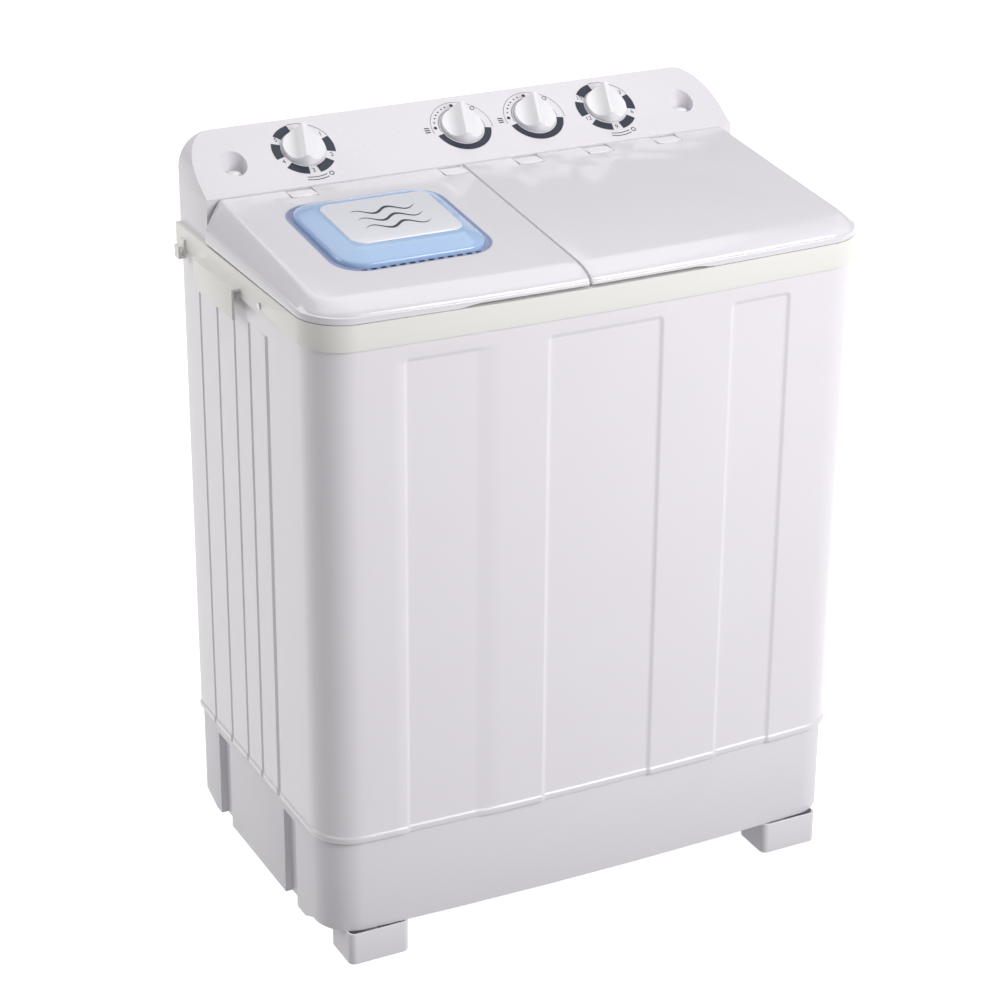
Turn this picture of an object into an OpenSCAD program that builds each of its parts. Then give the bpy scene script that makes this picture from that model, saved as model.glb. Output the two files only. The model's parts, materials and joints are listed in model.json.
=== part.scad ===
// Twin tub washer: a wash tub with a pulsator and a spin tub with a basket, side by side in one cabinet.
// Millimetres, +Z up, +Y to the back. The origin is on the floor, under the middle of the machine.

/* [Overall] */
// Width of the cabinet
body_w = 740; // [620:10:900]
// Depth of the cabinet
body_d = 432; // [380:4:540]
// Height of a foot under the plinth
foot_h = 46; // [30:1:60]
// Height of the plinth
base_h = 127; // [100:1:160]
// Height of the cabinet wall
cabinet_h = 648; // [540:4:780]
// Height of the top frame's band
frame_h = 32; // [24:1:45]
// How far the pipe stubs stand out behind the back
stub_l = 28; // [20:1:40]
// Length of a stub that its hose grips
hose_grip = 24; // [16:1:36]

/* [Shells] */
// Wall of the large mouldings
wall = 3; // [2:0.5:5]
// Radius of the two front corners, seen from above
corner_r = 54; // [30:1:80]
// How far the front bows out at its middle
front_bow = 11.5; // [4:0.5:20]
// How far the plinth steps in from the cabinet
base_inset = 4; // [2:1:12]
// How far the top band stands out from the cabinet
frame_proud = 4; // [2:0.5:8]
// How deep the three front panels are pressed in
panel_sink = 1.6; // [0.8:0.2:2.2]
// Width of an outer front panel
panel_w = 92; // [60:2:120]
// Width of the middle front panel
panel_mid_w = 158; // [100:2:200]
// From the cabinet's side to the outer edge of an outer panel
panel_side = 106; // [80:2:140]

/* [Feet] */
// Width of a foot
foot_w = 82; // [50:1:110]
// Depth of a foot
foot_d = 62; // [40:1:90]
// From the cabinet's side to a foot
foot_side = 28; // [15:1:60]

/* [Lids] */
// Width of the spin side, up to the split between the lids
spin_w = 345; // [320:5:380]
// Gap between the lids and around them
lid_gap = 3; // [2:0.5:6]
// Height of the lids at their back edge
lid_h = 54; // [40:1:70]
// Fall of the lids to the front, in degrees
lid_slope = 5.8; // [3:0.1:8]
// Wall of a lid
lid_wall = 2.5; // [2:0.1:4]
// Radius of the hinge pins
hinge_r = 3; // [2:0.5:4]
// Length of a hinge knuckle
knuckle_l = 20; // [12:1:28]
// From the split to the wash lid's first hinge
hinge_first = 86; // [60:2:100]
// Distance between the wash lid's three hinges
hinge_pitch = 101; // [80:1:110]

/* [Console] */
// Depth of the console
console_d = 93; // [80:1:130]
// Height of the console's front edge above the band
console_lip = 55; // [40:1:70]
// Slope of the console's face, in degrees
console_slope = 32; // [20:1:45]
// Radius of the console's top corners
console_r = 42; // [15:1:60]
// From the console's left end to the spin knob
knob_left = 150.5; // [110:0.5:180]
// From the console's right end to the wash knob
knob_right = 162.5; // [110:0.5:180]
// Distance between the three knobs of the wash side
knob_pitch = 104; // [90:1:120]
// From the console's end to the screw well
well_side = 54; // [40:1:70]
// Radius of a knob
knob_r = 27; // [18:1:32]
// Height of a knob's skirt
knob_h = 9; // [6:0.5:14]
// Radius of the timer and switch shafts
stem_r = 3; // [2:0.5:4]

/* [Wash side] */
// Depth of the wash tub and the spin case
tub_depth = 430; // [360:5:470]
// Gap between the tubs and the cabinet
tub_gap = 17; // [10:1:30]
// Radius of the wash tub's corners
tub_corner = 60; // [30:1:90]
// Gap around the pulsator
pulsator_gap = 11; // [4:1:30]
// Radius of the wash shaft
wash_shaft_r = 7; // [5:0.5:10]
// Pitch radius of the big wash pulley
pulley_r = 92; // [70:1:110]
// Pitch radius of the motor pulley
motor_pulley_r = 24; // [16:1:34]
// Radius of the wash motor
wash_motor_r = 60; // [50:1:66]
// Height of the wash motor
wash_motor_h = 88; // [70:1:100]

/* [Spin side] */
// Gap between the basket and its case
basket_gap = 18; // [10:1:30]
// Height of the spin basket
basket_h = 330; // [250:5:345]
// Wall of the spin basket
basket_wall = 2.5; // [2:0.1:4]
// Radius of the basket's drain holes
basket_hole_r = 3.5; // [2:0.5:5]
// Radius of the spin shaft
spin_shaft_r = 6; // [5:0.5:9]
// Radius of the spin motor
spin_motor_r = 62; // [50:1:75]
// Height of the spin motor
spin_motor_h = 96; // [70:1:110]
// Radius of the brake drum
brake_r = 48; // [36:1:56]

/* [Pipes] */
// Outer radius of the drain stub
drain_r = 14; // [10:0.5:18]
// Outer radius of the water inlet stub
inlet_r = 13; // [10:0.5:16]
// Bore radius of the cord gland
cord_r = 4.5; // [3:0.5:6]

/* [Hidden] */
$fn = 64;

fit = 0.05;     // radial clearance of a running shaft
play = 0.5;     // gap between pieces that must not touch
eps = 0.5;      // overrun of a cut

// Heights
base_z = foot_h;
cabinet_z = base_z + base_h;
frame_z = cabinet_z + cabinet_h;
deck_z = frame_z + frame_h;
// The band's front bows to front_y - frame_proud; the stubs behind reach as far the other way.
body_y = -(stub_l - frame_proud) / 2;
front_y = body_y - body_d / 2;
back_y = body_y + body_d / 2;
half_w = body_w / 2;

// Plan of the two sides
split_x = -half_w + spin_w;
console_y = back_y - console_d;
tub_wall = wall;
tub_y0 = front_y + wall + tub_gap;
tub_y1 = console_y - tub_gap;
wash_x0 = split_x + tub_gap;
wash_x1 = half_w - wall - tub_gap;
wash_x = (wash_x0 + wash_x1) / 2;
wash_y = (tub_y0 + tub_y1) / 2;
spin_x0 = -half_w + wall + tub_gap;
spin_x1 = split_x - tub_gap;
spin_x = (spin_x0 + spin_x1) / 2;
spin_y = wash_y;
case_r = min(spin_x1 - spin_x0, tub_y1 - tub_y0) / 2;
basket_r = case_r - tub_wall - basket_gap;
spin_open_r = basket_r - 6;
floor_z = deck_z - tub_depth;
rim_z = deck_z - wall;

// Base floor
floor_t = 4;
base_floor_z = base_z + 40;

module shift(x = 0, y = 0, z = 0) { translate([x, y, z]) children(); }

// Plan outline of the body, stepped in by inset: straight back, round front corners, bowed front.
module outline(inset = 0) {
    w = half_w - inset;
    r = corner_r - inset;
    bow_r = (half_w * half_w + front_bow * front_bow) / (2 * front_bow) - inset;
    bow_y = front_y + inset + bow_r;
    corner_x = w - r;
    corner_y = bow_y - sqrt((bow_r - r) * (bow_r - r) - corner_x * corner_x);
    reach = corner_x * bow_r / (bow_r - r);
    translate([-w, corner_y]) square([2 * w, back_y - inset - corner_y]);
    for (s = [-1, 1]) translate([s * corner_x, corner_y]) circle(r);
    intersection() {
        translate([0, bow_y]) circle(bow_r, $fn = 720);
        translate([-reach, front_y + inset - 1]) square([2 * reach, corner_y - front_y - inset + 6]);
    }
}

module slab(z0, z1, inset = 0) { shift(z = z0) linear_extrude(z1 - z0) outline(inset); }

module box(a, b) { translate(a) cube([b[0] - a[0], b[1] - a[1], b[2] - a[2]]); }

module tube(r, bore, h) {
    difference() {
        cylinder(r = r, h = h);
        shift(z = -eps) cylinder(r = bore, h = h + 2 * eps);
    }
}

module rounded(w, d, r) {
    translate([-w / 2 + r, -d / 2]) square([w - 2 * r, d]);
    translate([-w / 2, -d / 2 + r]) square([w, d - 2 * r]);
    for (sx = [-1, 1], sy = [-1, 1]) translate([sx * (w / 2 - r), sy * (d / 2 - r)]) circle(r);
}

// A shape drawn with y and z, drawn out along x from x0 to x1.
module along_x(x0, x1) { translate([x0, 0, 0]) rotate([90, 0, 90]) linear_extrude(x1 - x0) children(); }
// A shape drawn with x and z, drawn out along y from y0 to y1.
module along_y(y0, y1) { translate([0, y1, 0]) rotate([90, 0, 0]) linear_extrude(y1 - y0) children(); }

// ---------------------------------------------------------------- base, feet and cabinet
channel_w = 38;
channel_depth = 9;
channel_ys = [front_y + 136, front_y + 356 * body_d / 432];
skirt_drop = 12;
post_r = 9;
foot_x = half_w - foot_side - foot_w / 2;
foot_ys = [front_y + 6 + foot_d / 2, back_y - 66 - foot_d / 2];

module base_cavity(z0, z1) {
    difference() {
        slab(z0, z1, base_inset + wall);
        for (s = [-1, 1], y = channel_ys)
            box([s * (half_w - base_inset - (channel_depth + wall) / 2) - (channel_depth + wall) / 2 - eps,
                    y - channel_w / 2 - wall, z0 - eps],
                [s * (half_w - base_inset - (channel_depth + wall) / 2) + (channel_depth + wall) / 2 + eps,
                    y + channel_w / 2 + wall, z1 + eps]);
    }
}

module base() {
    color("whitesmoke") difference() {
        union() {
            slab(base_z, cabinet_z, base_inset);
            // side skirts hang lower than the front
            intersection() {
                slab(base_z - skirt_drop, base_z + eps, base_inset);
                along_x(-half_w, half_w) polygon([
                    [front_y + 66, base_z + eps], [front_y + 92, base_z - skirt_drop],
                    [back_y - 40, base_z - skirt_drop], [back_y - 4, base_z + eps]]);
                union() for (s = [-1, 1])
                    shift(x = s * (half_w - 10)) box([-10, front_y, 0], [10, back_y, base_z + 2]);
            }
        }
        for (s = [-1, 1], y = channel_ys)
            box([s * (half_w - base_inset) - channel_depth, y - channel_w / 2, base_z - skirt_drop - eps],
                [s * (half_w - base_inset) + channel_depth, y + channel_w / 2, cabinet_z - 16]);
        base_cavity(base_floor_z + floor_t, cabinet_z + eps);
        base_cavity(base_z - skirt_drop - eps, base_floor_z);
        // air and service openings in the floor
        shift(wash_x, wash_y, base_floor_z - eps) cylinder(r = pulley_r, h = floor_t + 2 * eps);
        shift(spin_x, spin_y, base_floor_z - eps) cylinder(r = 28, h = floor_t + 2 * eps);
        // the drain pipe leaves through the back
        shift(drain_x, back_y, drain_out_z) rotate([90, 0, 0]) shift(z = -eps)
            cylinder(r = drain_r + play, h = base_inset + 2 * wall + eps);
    }
}

module foot(sx, row) {
    sole = 6;
    color("white") shift(sx * foot_x, foot_ys[row], 0) difference() {
        union() {
            shift(z = 2) linear_extrude(foot_h - 2 - play / 5) rounded(foot_w, foot_d, 9);
            linear_extrude(2) rounded(foot_w - 8, foot_d - 8, 8);
            shift(z = foot_h - 1) cylinder(r = post_r, h = base_floor_z - foot_h + 1);
        }
        shift(z = sole) linear_extrude(foot_h) difference() {
            rounded(foot_w - 2 * wall, foot_d - 2 * wall, 7);
            circle(post_r);
        }
    }
}

rear_open_z0 = cabinet_z + 20;
rear_open_z1 = floor_z + 60;
rear_open_x = half_w - 40;
grip_h = 38;
grip_y0 = front_y + 226;
grip_y1 = front_y + 350;
groove_ys = [60, 118, 173, 221, 274];

module cabinet() {
    color("white") difference() {
        slab(cabinet_z, frame_z, 0);
        slab(cabinet_z - eps, frame_z + eps, wall);
        // three panels pressed into the front, down to its bottom edge
        intersection() {
            difference() {
                slab(cabinet_z - eps, frame_z - 19, -1);
                slab(cabinet_z - 1, frame_z, panel_sink);
            }
            union() {
                for (s = [-1, 1]) shift(x = s * (half_w - panel_side - panel_w / 2))
                    box([-panel_w / 2, front_y - 9, 0], [panel_w / 2, front_y + 60, frame_z]);
                box([-panel_mid_w / 2, front_y - 9, 0], [panel_mid_w / 2, front_y + 60, frame_z]);
            }
        }
        // upright grooves in both sides
        for (s = [-1, 1], d = groove_ys)
            box([s * half_w - 1.2, back_y - d - 1.5, cabinet_z + 12],
                [s * half_w + 1.2, back_y - d + 1.5, frame_z - 29]);
        // service opening at the back
        box([-rear_open_x, back_y - wall - eps, rear_open_z0], [rear_open_x, back_y + eps, rear_open_z1]);
        for (p = cover_screw_at) shift(p[0], back_y, p[1]) rotate([90, 0, 0]) shift(z = -eps)
            cylinder(r = cover_screw_r, h = wall + 2 * eps);
    }
}

cover_t = 2;
cover_lap = 14;
cover_screw_r = 1.8;
cover_screw_at = [for (sx = [-1, 1], z = [rear_open_z0 - cover_lap / 2, rear_open_z1 + cover_lap / 2])
    [sx * (rear_open_x - 30), z]];

module rear_cover() {
    louvres = 7;
    louvre_pitch = 16;
    color("gainsboro") difference() {
        box([-rear_open_x - cover_lap, back_y, rear_open_z0 - cover_lap],
            [rear_open_x + cover_lap, back_y + cover_t, rear_open_z1 + cover_lap]);
        for (x = [spin_x, wash_x], i = [0:louvres - 1])
            box([x - 50, back_y - eps, rear_open_z0 + 40 + i * louvre_pitch],
                [x + 50, back_y + cover_t + eps, rear_open_z0 + 45 + i * louvre_pitch]);
        for (p = cover_screw_at) shift(p[0], back_y, p[1]) rotate([-90, 0, 0]) shift(z = -eps)
            cylinder(r = cover_screw_r, h = cover_t + 2 * eps);
        shift(cord_x, back_y, cord_z) rotate([-90, 0, 0]) shift(z = -eps)
            cylinder(r = gland_r, h = cover_t + 2 * eps);
    }
}

module cover_screws() {
    color("silver") for (p = cover_screw_at) shift(p[0], back_y + cover_t, p[1]) rotate([-90, 0, 0]) {
        cylinder(r = 4, h = 2);
        shift(z = -cover_t - wall - 4) cylinder(r = cover_screw_r - fit, h = cover_t + wall + 4);
    }
}

cord_x = -half_w + 110;
cord_z = rear_open_z0 + 24;
gland_r = 9;

module cord_gland() {
    color("dimgray") shift(cord_x, back_y + cover_t, cord_z) rotate([-90, 0, 0]) difference() {
        union() {
            cylinder(r = gland_r + 3, h = 3);
            shift(z = -cover_t - 5) cylinder(r = gland_r - fit, h = cover_t + 5);
            cylinder(r = gland_r - 1, h = 16);
        }
        shift(z = -cover_t - 5 - eps) cylinder(r = cord_r, h = 30);
    }
}

// ---------------------------------------------------------------- top frame
module spin_bore(r, z0, z1) { shift(spin_x, spin_y, z0) cylinder(r = r, h = z1 - z0); }

module wash_plan(inset = 0) {
    translate([wash_x, wash_y])
        rounded(wash_x1 - wash_x0 - 2 * inset, tub_y1 - tub_y0 - 2 * inset, tub_corner - inset);
}

grip_out = 15;

module grip(s) {
    // a hollow hand grip that stands out from the side of the band, open at its front end and below
    x_in = half_w + 0.2;
    x_out = half_w + grip_out;
    mirror([s < 0 ? 1 : 0, 0, 0]) shift(z = frame_z + 12 - grip_h) difference() {
        box([x_in, grip_y0, 0], [x_out, grip_y1, grip_h]);
        box([x_in - eps, grip_y0 - eps, -eps], [x_out - wall, grip_y1 - wall, grip_h - wall]);
    }
}

module top_frame() {
    color("ivory") {
        difference() {
            union() {
                slab(frame_z, deck_z, -frame_proud);
                for (s = [-1, 1]) grip(s);
                // ears that carry the lid hinges
                for (side = [-1, 1], x = hinge_xs(side)) hinge_ears(x);
                for (s = [-1, 1]) inner_ear(s);
            }
            slab(frame_z - eps, deck_z - wall, wall);
            shift(z = frame_z - eps) linear_extrude(frame_h + 2 * eps) wash_plan(tub_wall);
            spin_bore(spin_open_r, frame_z, deck_z + eps);
            // service bay under the console
            box([-half_w + 40, console_y + 12, frame_z], [half_w - 40, back_y - 14, deck_z + eps]);
            for (s = [-1, 1]) shift(s * (half_w - well_side), screw_y, deck_z - wall - eps)
                cylinder(r = 1.6, h = wall + 2 * eps);
            for (s = [-1, 1]) side_screw_at(s) cylinder(r = 2, h = 30, center = true);
        }
    }
}

side_screw_y = front_y + 166;
module side_screw_at(s) {
    shift(s * (half_w + frame_proud), side_screw_y, frame_z + 10) rotate([0, s * 90, 0]) children();
}

module side_screws() {
    color("silver") for (s = [-1, 1]) side_screw_at(s) {
        cylinder(r = 4, h = 1.6);
        shift(z = -9) cylinder(r = 2 - fit, h = 9);
    }
}

module hose_hook() {
    // a clip for the end of the drain hose, at the back of the left side
    t = 3;
    color("white") shift(-half_w - frame_proud, back_y - 22, frame_z + 4) {
        box([-t, -7, -10], [0, 7, 14]);
        box([-10, -7, -10], [-t + eps, 7, -7]);
        box([-10, -7, -10], [-7, 7, 6]);
    }
}

// ---------------------------------------------------------------- lids
lid_tan = tan(lid_slope);
lid_y1 = console_y - lid_gap;
lid_y0 = front_y - frame_proud + 0.5;
lid_z = deck_z + 1;
lip_h = 12;
shoulder = 34;
side_slope = 16;
hinge_y = lid_y1 - 15;
hinge_z = deck_z + lid_h - 8;
knuckle_r = hinge_r + 2.5;
ear_t = 5;
lid_rise = 6;
lid_front_z = deck_z + lid_h - (lid_y1 - lid_y0 - shoulder) * lid_tan;

wash_hinge_xs = [for (i = [0:2]) split_x + hinge_first + i * hinge_pitch];
spin_hinge_xs = [-half_w + 120, split_x - 18];
function hinge_xs(outer) = outer > 0 ? wash_hinge_xs : spin_hinge_xs;

module hinge_ears(x) {
    for (s = [-1, 1]) shift(x + s * (knuckle_l / 2 + play + ear_t / 2)) difference() {
        along_x(-ear_t / 2, ear_t / 2) {
            translate([hinge_y, hinge_z]) circle(knuckle_r);
            translate([hinge_y - knuckle_r, deck_z - wall]) square([2 * knuckle_r, hinge_z - deck_z + wall]);
        }
        shift(-ear_t, hinge_y, hinge_z) rotate([0, 90, 0]) cylinder(r = hinge_r, h = 2 * ear_t);
    }
}

module hinge_pins(side) {
    for (x = hinge_xs(side)) shift(x - knuckle_l / 2 - play - ear_t, hinge_y, hinge_z) rotate([0, 90, 0])
        cylinder(r = hinge_r, h = knuckle_l + 2 * play + 2 * ear_t);
}

// Side view of a lid, drawn with y and z, made smaller by t all round.
module lid_side(t) {
    top_back = deck_z + lid_h - t;
    polygon([
        [lid_y0 + t, lid_z - (t > 0 ? 20 : 0)],
        [lid_y0 + t, lid_z + lip_h - t * 0.6],
        [lid_y0 + shoulder * 0.3 + t * 0.5, lid_z + lip_h + (lid_front_z - lid_z - lip_h) * 0.62 - t],
        [lid_y0 + shoulder + t * 0.2, lid_front_z - t],
        [lid_y1 - t, top_back - t * lid_tan],
        [lid_y1 - t, lid_z + (t > 0 ? -20 : lid_rise)]]);
}

// The solid shape of a lid from x0 to x1, made smaller by t. outer is the side that has the sloped shoulder.
module lid_body(x0, x1, outer, t) {
    intersection() {
        along_x(x0 + t, x1 - t) lid_side(t);
        shift(z = deck_z - 40) linear_extrude(lid_h + 60) outline(-frame_proud + 0.5 + t);
        shift(y = lid_y1, z = deck_z + lid_h - t) rotate([lid_slope, 0, 0]) along_y(-body_d, 40) {
            e = outer * (half_w + frame_proud - 0.5 - t);
            i = -outer * body_w;
            polygon(outer > 0
                ? [[i, 0], [e - side_slope, 0], [e, -side_slope - 8], [e, -120], [i, -120]]
                : [[i, 0], [i, -120], [e, -120], [e, -side_slope - 8], [e + side_slope, 0]]);
        }
    }
}

module lid(x0, x1, outer) {
    difference() {
        union() {
            difference() {
                lid_body(x0, x1, outer, 0);
                lid_body(x0, x1, outer, lid_wall);
                // room for the hinge ears
                for (x = hinge_xs(outer))
                    box([x - knuckle_l / 2 - ear_t - 3, hinge_y - knuckle_r - 3, deck_z - 1],
                        [x + knuckle_l / 2 + ear_t + 3, console_y, deck_z + lid_h + 1]);
                // the back wall stays high, so the open lid swings clear of the deck
                box([x0 + lid_wall, lid_y1 - lid_wall - eps, deck_z - 1],
                    [x1 - lid_wall, console_y, hinge_z - 8]);
            }
            // knuckles, joined to the underside by a web
            intersection() {
                for (x = hinge_xs(outer)) {
                    shift(x - knuckle_l / 2, hinge_y, hinge_z) rotate([0, 90, 0])
                        cylinder(r = knuckle_r, h = knuckle_l);
                    box([x - knuckle_l / 2, hinge_y - knuckle_r - 9, hinge_z],
                        [x + knuckle_l / 2, hinge_y + knuckle_r, deck_z + lid_h]);
                }
                union() {
                    lid_body(x0, x1, outer, 0);
                    box([x0, hinge_y - 20, deck_z], [x1, console_y - 1, hinge_z]);
                }
            }
        }
        for (x = hinge_xs(outer))
            shift(x - knuckle_l, hinge_y, hinge_z) rotate([0, 90, 0])
                cylinder(r = hinge_r + fit, h = 2 * knuckle_l);
        // half of the finger recess in the front skirt
        box([x0 - eps, lid_y0 - 20, deck_z - eps],
            [outer > 0 ? x0 + finger_l : x1 + eps, lid_y0 + front_bow + lid_wall, deck_z + finger_h]);
    }
}
finger_l = 170;
finger_h = 7;

module wash_lid() { color("ghostwhite") lid(split_x + lid_gap / 2, half_w + frame_proud, 1); }
module wash_hinge_pins() { color("silver") hinge_pins(1); }
module spin_hinge_pins() { color("silver") hinge_pins(-1); }
module spin_lid() {
    color("ghostwhite") difference() {
        lid(-half_w - frame_proud, split_x - lid_gap / 2, -1);
        vent_place() shift(z = -20) linear_extrude(40)
            rounded(vent_w - 2 * vent_lap, vent_d - 2 * vent_lap, vent_r - vent_lap);
    }
}

// The air inlet of the spin lid
vent_w = 196;
vent_d = 182;
vent_r = 34;
vent_lap = 6;
vent_x = -half_w + 174;
vent_y = lid_y1 - 146;
vent_h = 13;
plaque_w = 140;
plaque_d = 114;
module vent_place() {
    shift(vent_x, lid_y1, deck_z + lid_h) rotate([lid_slope, 0, 0]) shift(y = vent_y - lid_y1) children();
}
module vent_dome(foot, top) {
    polygon([[-foot / 2, 0], [foot / 2, 0], [foot / 2, 4], [top / 2 + 5, vent_h],
        [-top / 2 - 5, vent_h], [-foot / 2, 4]]);
}
module vent_cap() {
    slots = 9;
    color("lightsteelblue") vent_place() difference() {
        union() {
            shift(z = -lid_wall - 4) linear_extrude(lid_wall + 4 + 1)
                rounded(vent_w - 2 * vent_lap - 1, vent_d - 2 * vent_lap - 1, vent_r - vent_lap);
            intersection() {
                shift(z = play / 5) linear_extrude(vent_h) rounded(vent_w, vent_d, vent_r);
                along_x(-vent_w, vent_w) vent_dome(vent_d, plaque_d);
                along_y(-vent_d, vent_d) vent_dome(vent_w, plaque_w);
            }
        }
        shift(z = -lid_wall - 4 - eps) linear_extrude(vent_h + 0.5)
            rounded(vent_w - 2 * vent_lap - 6, vent_d - 2 * vent_lap - 6, vent_r - vent_lap - 2);
        for (i = [0:slots - 1]) shift(x = (i - (slots - 1) / 2) * 16)
            box([-4, -vent_d / 2 - 2, 1], [4, -vent_d / 2 + 22, 3.4]);
    }
}
module vent_plaque() {
    color("white") vent_place() shift(z = vent_h) linear_extrude(1.5) rounded(plaque_w, plaque_d, 12);
}

// Safety cover that drops over the basket inside the spin opening
cover_r = spin_open_r - 4;
cover_z = deck_z + 2;
cover_hinge_y = spin_y + spin_open_r + 4;
cover_hinge_z = deck_z + 6;
cover_pin_r = 2;
cover_arm_x = 34;
module inner_ear(s) {
    shift(spin_x + s * (cover_arm_x + 8)) difference() {
        box([-2, cover_hinge_y - 4, deck_z - wall], [2, cover_hinge_y + 4, cover_hinge_z + 4]);
        shift(-5, cover_hinge_y, cover_hinge_z) rotate([0, 90, 0]) cylinder(r = cover_pin_r, h = 10);
    }
}
module inner_cover() {
    color("azure") difference() {
        union() {
            shift(spin_x, spin_y, cover_z) cylinder(r = cover_r, h = 2);
            shift(spin_x, spin_y, cover_z) tube(cover_r, cover_r - 2, 6);
            for (s = [-1, 1]) shift(spin_x + s * cover_arm_x) {
                box([-5, spin_y + cover_r - 14, cover_z], [5, cover_hinge_y, cover_z + 2]);
                shift(-5, cover_hinge_y, cover_hinge_z) rotate([0, 90, 0]) cylinder(r = 4, h = 10);
            }
            shift(spin_x, spin_y - cover_r * 0.6, cover_z + 1) linear_extrude(9) rounded(60, 8, 3.9);
        }
        for (s = [-1, 1]) shift(spin_x + s * cover_arm_x - 8, cover_hinge_y, cover_hinge_z) rotate([0, 90, 0])
            cylinder(r = cover_pin_r + fit, h = 16);
        for (a = [0:30:330]) shift(spin_x, spin_y, cover_z - eps) rotate(a) shift(x = cover_r * 0.4)
            cylinder(r = 4, h = 4);
    }
}
module inner_cover_pins() {
    color("silver") for (s = [-1, 1])
        shift(spin_x + s * cover_arm_x - 5.5 - (s > 0 ? 0 : 4.5), cover_hinge_y, cover_hinge_z)
            rotate([0, 90, 0])
            cylinder(r = cover_pin_r, h = 15.5);
}

// ---------------------------------------------------------------- console
console_top = deck_z + console_lip + console_d * tan(console_slope);
console_wall = 2.5;
knob_xs = [-half_w + knob_left,
    half_w - knob_right - 2 * knob_pitch, half_w - knob_right - knob_pitch, half_w - knob_right];
face_mid = 0.535;
screw_y = console_y + console_d * 0.45;
console_end = half_w - 1;

function face_z(y) = deck_z + console_lip + (y - console_y) * tan(console_slope);
module console_side(t) {
    drop = t / cos(console_slope);
    polygon([
        [console_y + t, deck_z + (t > 0 ? -9 : 0.1)],
        [console_y + t, face_z(console_y + t) - drop],
        [back_y - 4, face_z(back_y - 4) - drop],
        [back_y - t, console_top - 9 - drop],
        [back_y - t, deck_z + (t > 0 ? -9 : 0.1)]]);
}
module console_solid(t) {
    intersection() {
        along_x(-console_end + t, console_end - t) console_side(t);
        along_y(console_y - 5, back_y + 5) {
            translate([-console_end + t, 0]) square([2 * (console_end - t), console_top - console_r]);
            translate([-console_end + console_r, 0]) square([2 * (console_end - console_r), console_top - t]);
            for (s = [-1, 1]) translate([s * (console_end - console_r), console_top - console_r])
                circle(console_r - t);
        }
    }
}
// Puts children on the console's face at x, with z along its outward normal.
module on_face(x, along = face_mid) {
    shift(x, console_y + console_d * along, face_z(console_y + console_d * along))
        rotate([console_slope, 0, 0]) children();
}
well_r = 17;
well_z = face_z(screw_y) - 22;
module console_cover() {
    color("white") difference() {
        union() {
            difference() {
                console_solid(0);
                console_solid(console_wall);
                // the back is closed by its own plate
                box([-console_end + 20, back_y - console_wall - eps, deck_z - 1],
                    [console_end - 20, back_y + eps, deck_z + 48]);
            }
            // screw wells sunk into the face
            intersection() {
                console_solid(0);
                for (s = [-1, 1]) shift(s * (half_w - well_side), screw_y, deck_z + 0.1)
                    cylinder(r = well_r + 2.5, h = 200);
            }
        }
        for (s = [-1, 1]) shift(s * (half_w - well_side), screw_y, 0) {
            shift(z = well_z) cylinder(r = well_r, h = 200);
            shift(z = deck_z - 1) cylinder(r = 2.6, h = 100);
        }
        for (x = knob_xs) on_face(x) shift(z = -12) cylinder(r = 7, h = 20);
    }
}
module console_screws() {
    color("white") for (s = [-1, 1]) shift(s * (half_w - well_side), screw_y, 0) {
        shift(z = well_z) cylinder(r = 7, h = 9);
        shift(z = deck_z - wall - 3) cylinder(r = 1.6 - fit, h = well_z + 0.1 - deck_z + wall + 3);
    }
}
module console_back() {
    color("gainsboro") difference() {
        box([-console_end + 20 + play, back_y - console_wall, deck_z + play],
            [console_end - 20 - play, back_y, deck_z + 48 - play]);
        shift(inlet_x, back_y - 10, inlet_z) rotate([-90, 0, 0]) cylinder(r = inlet_r + play, h = 20);
    }
}

// Timers and switches hang from a steel bracket under the face
bracket_t = 1.5;
bracket_drop = 13;
module switch_bracket() {
    color("silver") difference() {
        on_face((knob_xs[0] + knob_xs[3]) / 2) {
            shift(z = -bracket_drop - bracket_t) linear_extrude(bracket_t)
                rounded(knob_xs[3] - knob_xs[0] + 84, 56, 4);
            for (s = [-1, 1]) shift(s * (knob_xs[3] - knob_xs[0] + 64) / 2, 0, -bracket_drop - eps)
                cylinder(r = 6, h = bracket_drop + eps - console_wall - 0.05);
        }
        for (x = knob_xs) on_face(x) shift(z = -bracket_drop - 5) cylinder(r = 6, h = 10);
    }
}
module control_body(x, w, h) {
    color("lightgray") on_face(x) shift(z = -bracket_drop - bracket_t - h) difference() {
        linear_extrude(h) rounded(w, w * 0.9, 5);
        shift(z = 4) cylinder(r = stem_r + fit, h = h);
    }
}
timer_h = 26;
switch_h = 18;
module knob(x, h) {
    color("white") on_face(x) difference() {
        union() {
            shift(z = 1) cylinder(r = knob_r, h = knob_h * 0.6);
            shift(z = 1 + knob_h * 0.6) cylinder(r1 = knob_r, r2 = knob_r - 3, h = knob_h * 0.4);
            rotate(-14) shift(z = 1 + knob_h - eps) linear_extrude(9) rounded(9, 2 * knob_r - 6, 3);
            shift(z = -bracket_drop - bracket_t - h + 4.5)
                cylinder(r = stem_r, h = bracket_drop + bracket_t + h);
        }
        shift(z = 0.5) difference() {
            cylinder(r = knob_r - 2, h = knob_h - 2);
            cylinder(r = stem_r + 2.5, h = knob_h);
        }
    }
}

module lid_switch() {
    color("dimgray")
        box([spin_x + 60, console_y + 4, deck_z + 0.1], [spin_x + 88, console_y + 24, deck_z + 24]);
}
module capacitors() {
    // two cans under the service bay, each hanging by a lug that rests on the deck
    color("lightgray") for (i = [0, 1]) shift(split_x - 140 - i * 62, console_y, deck_z) {
        box([-25, 16, -30], [25, 46, 6]);
        box([-12, 4, 0.1], [12, 17, 3]);
    }
}

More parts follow.
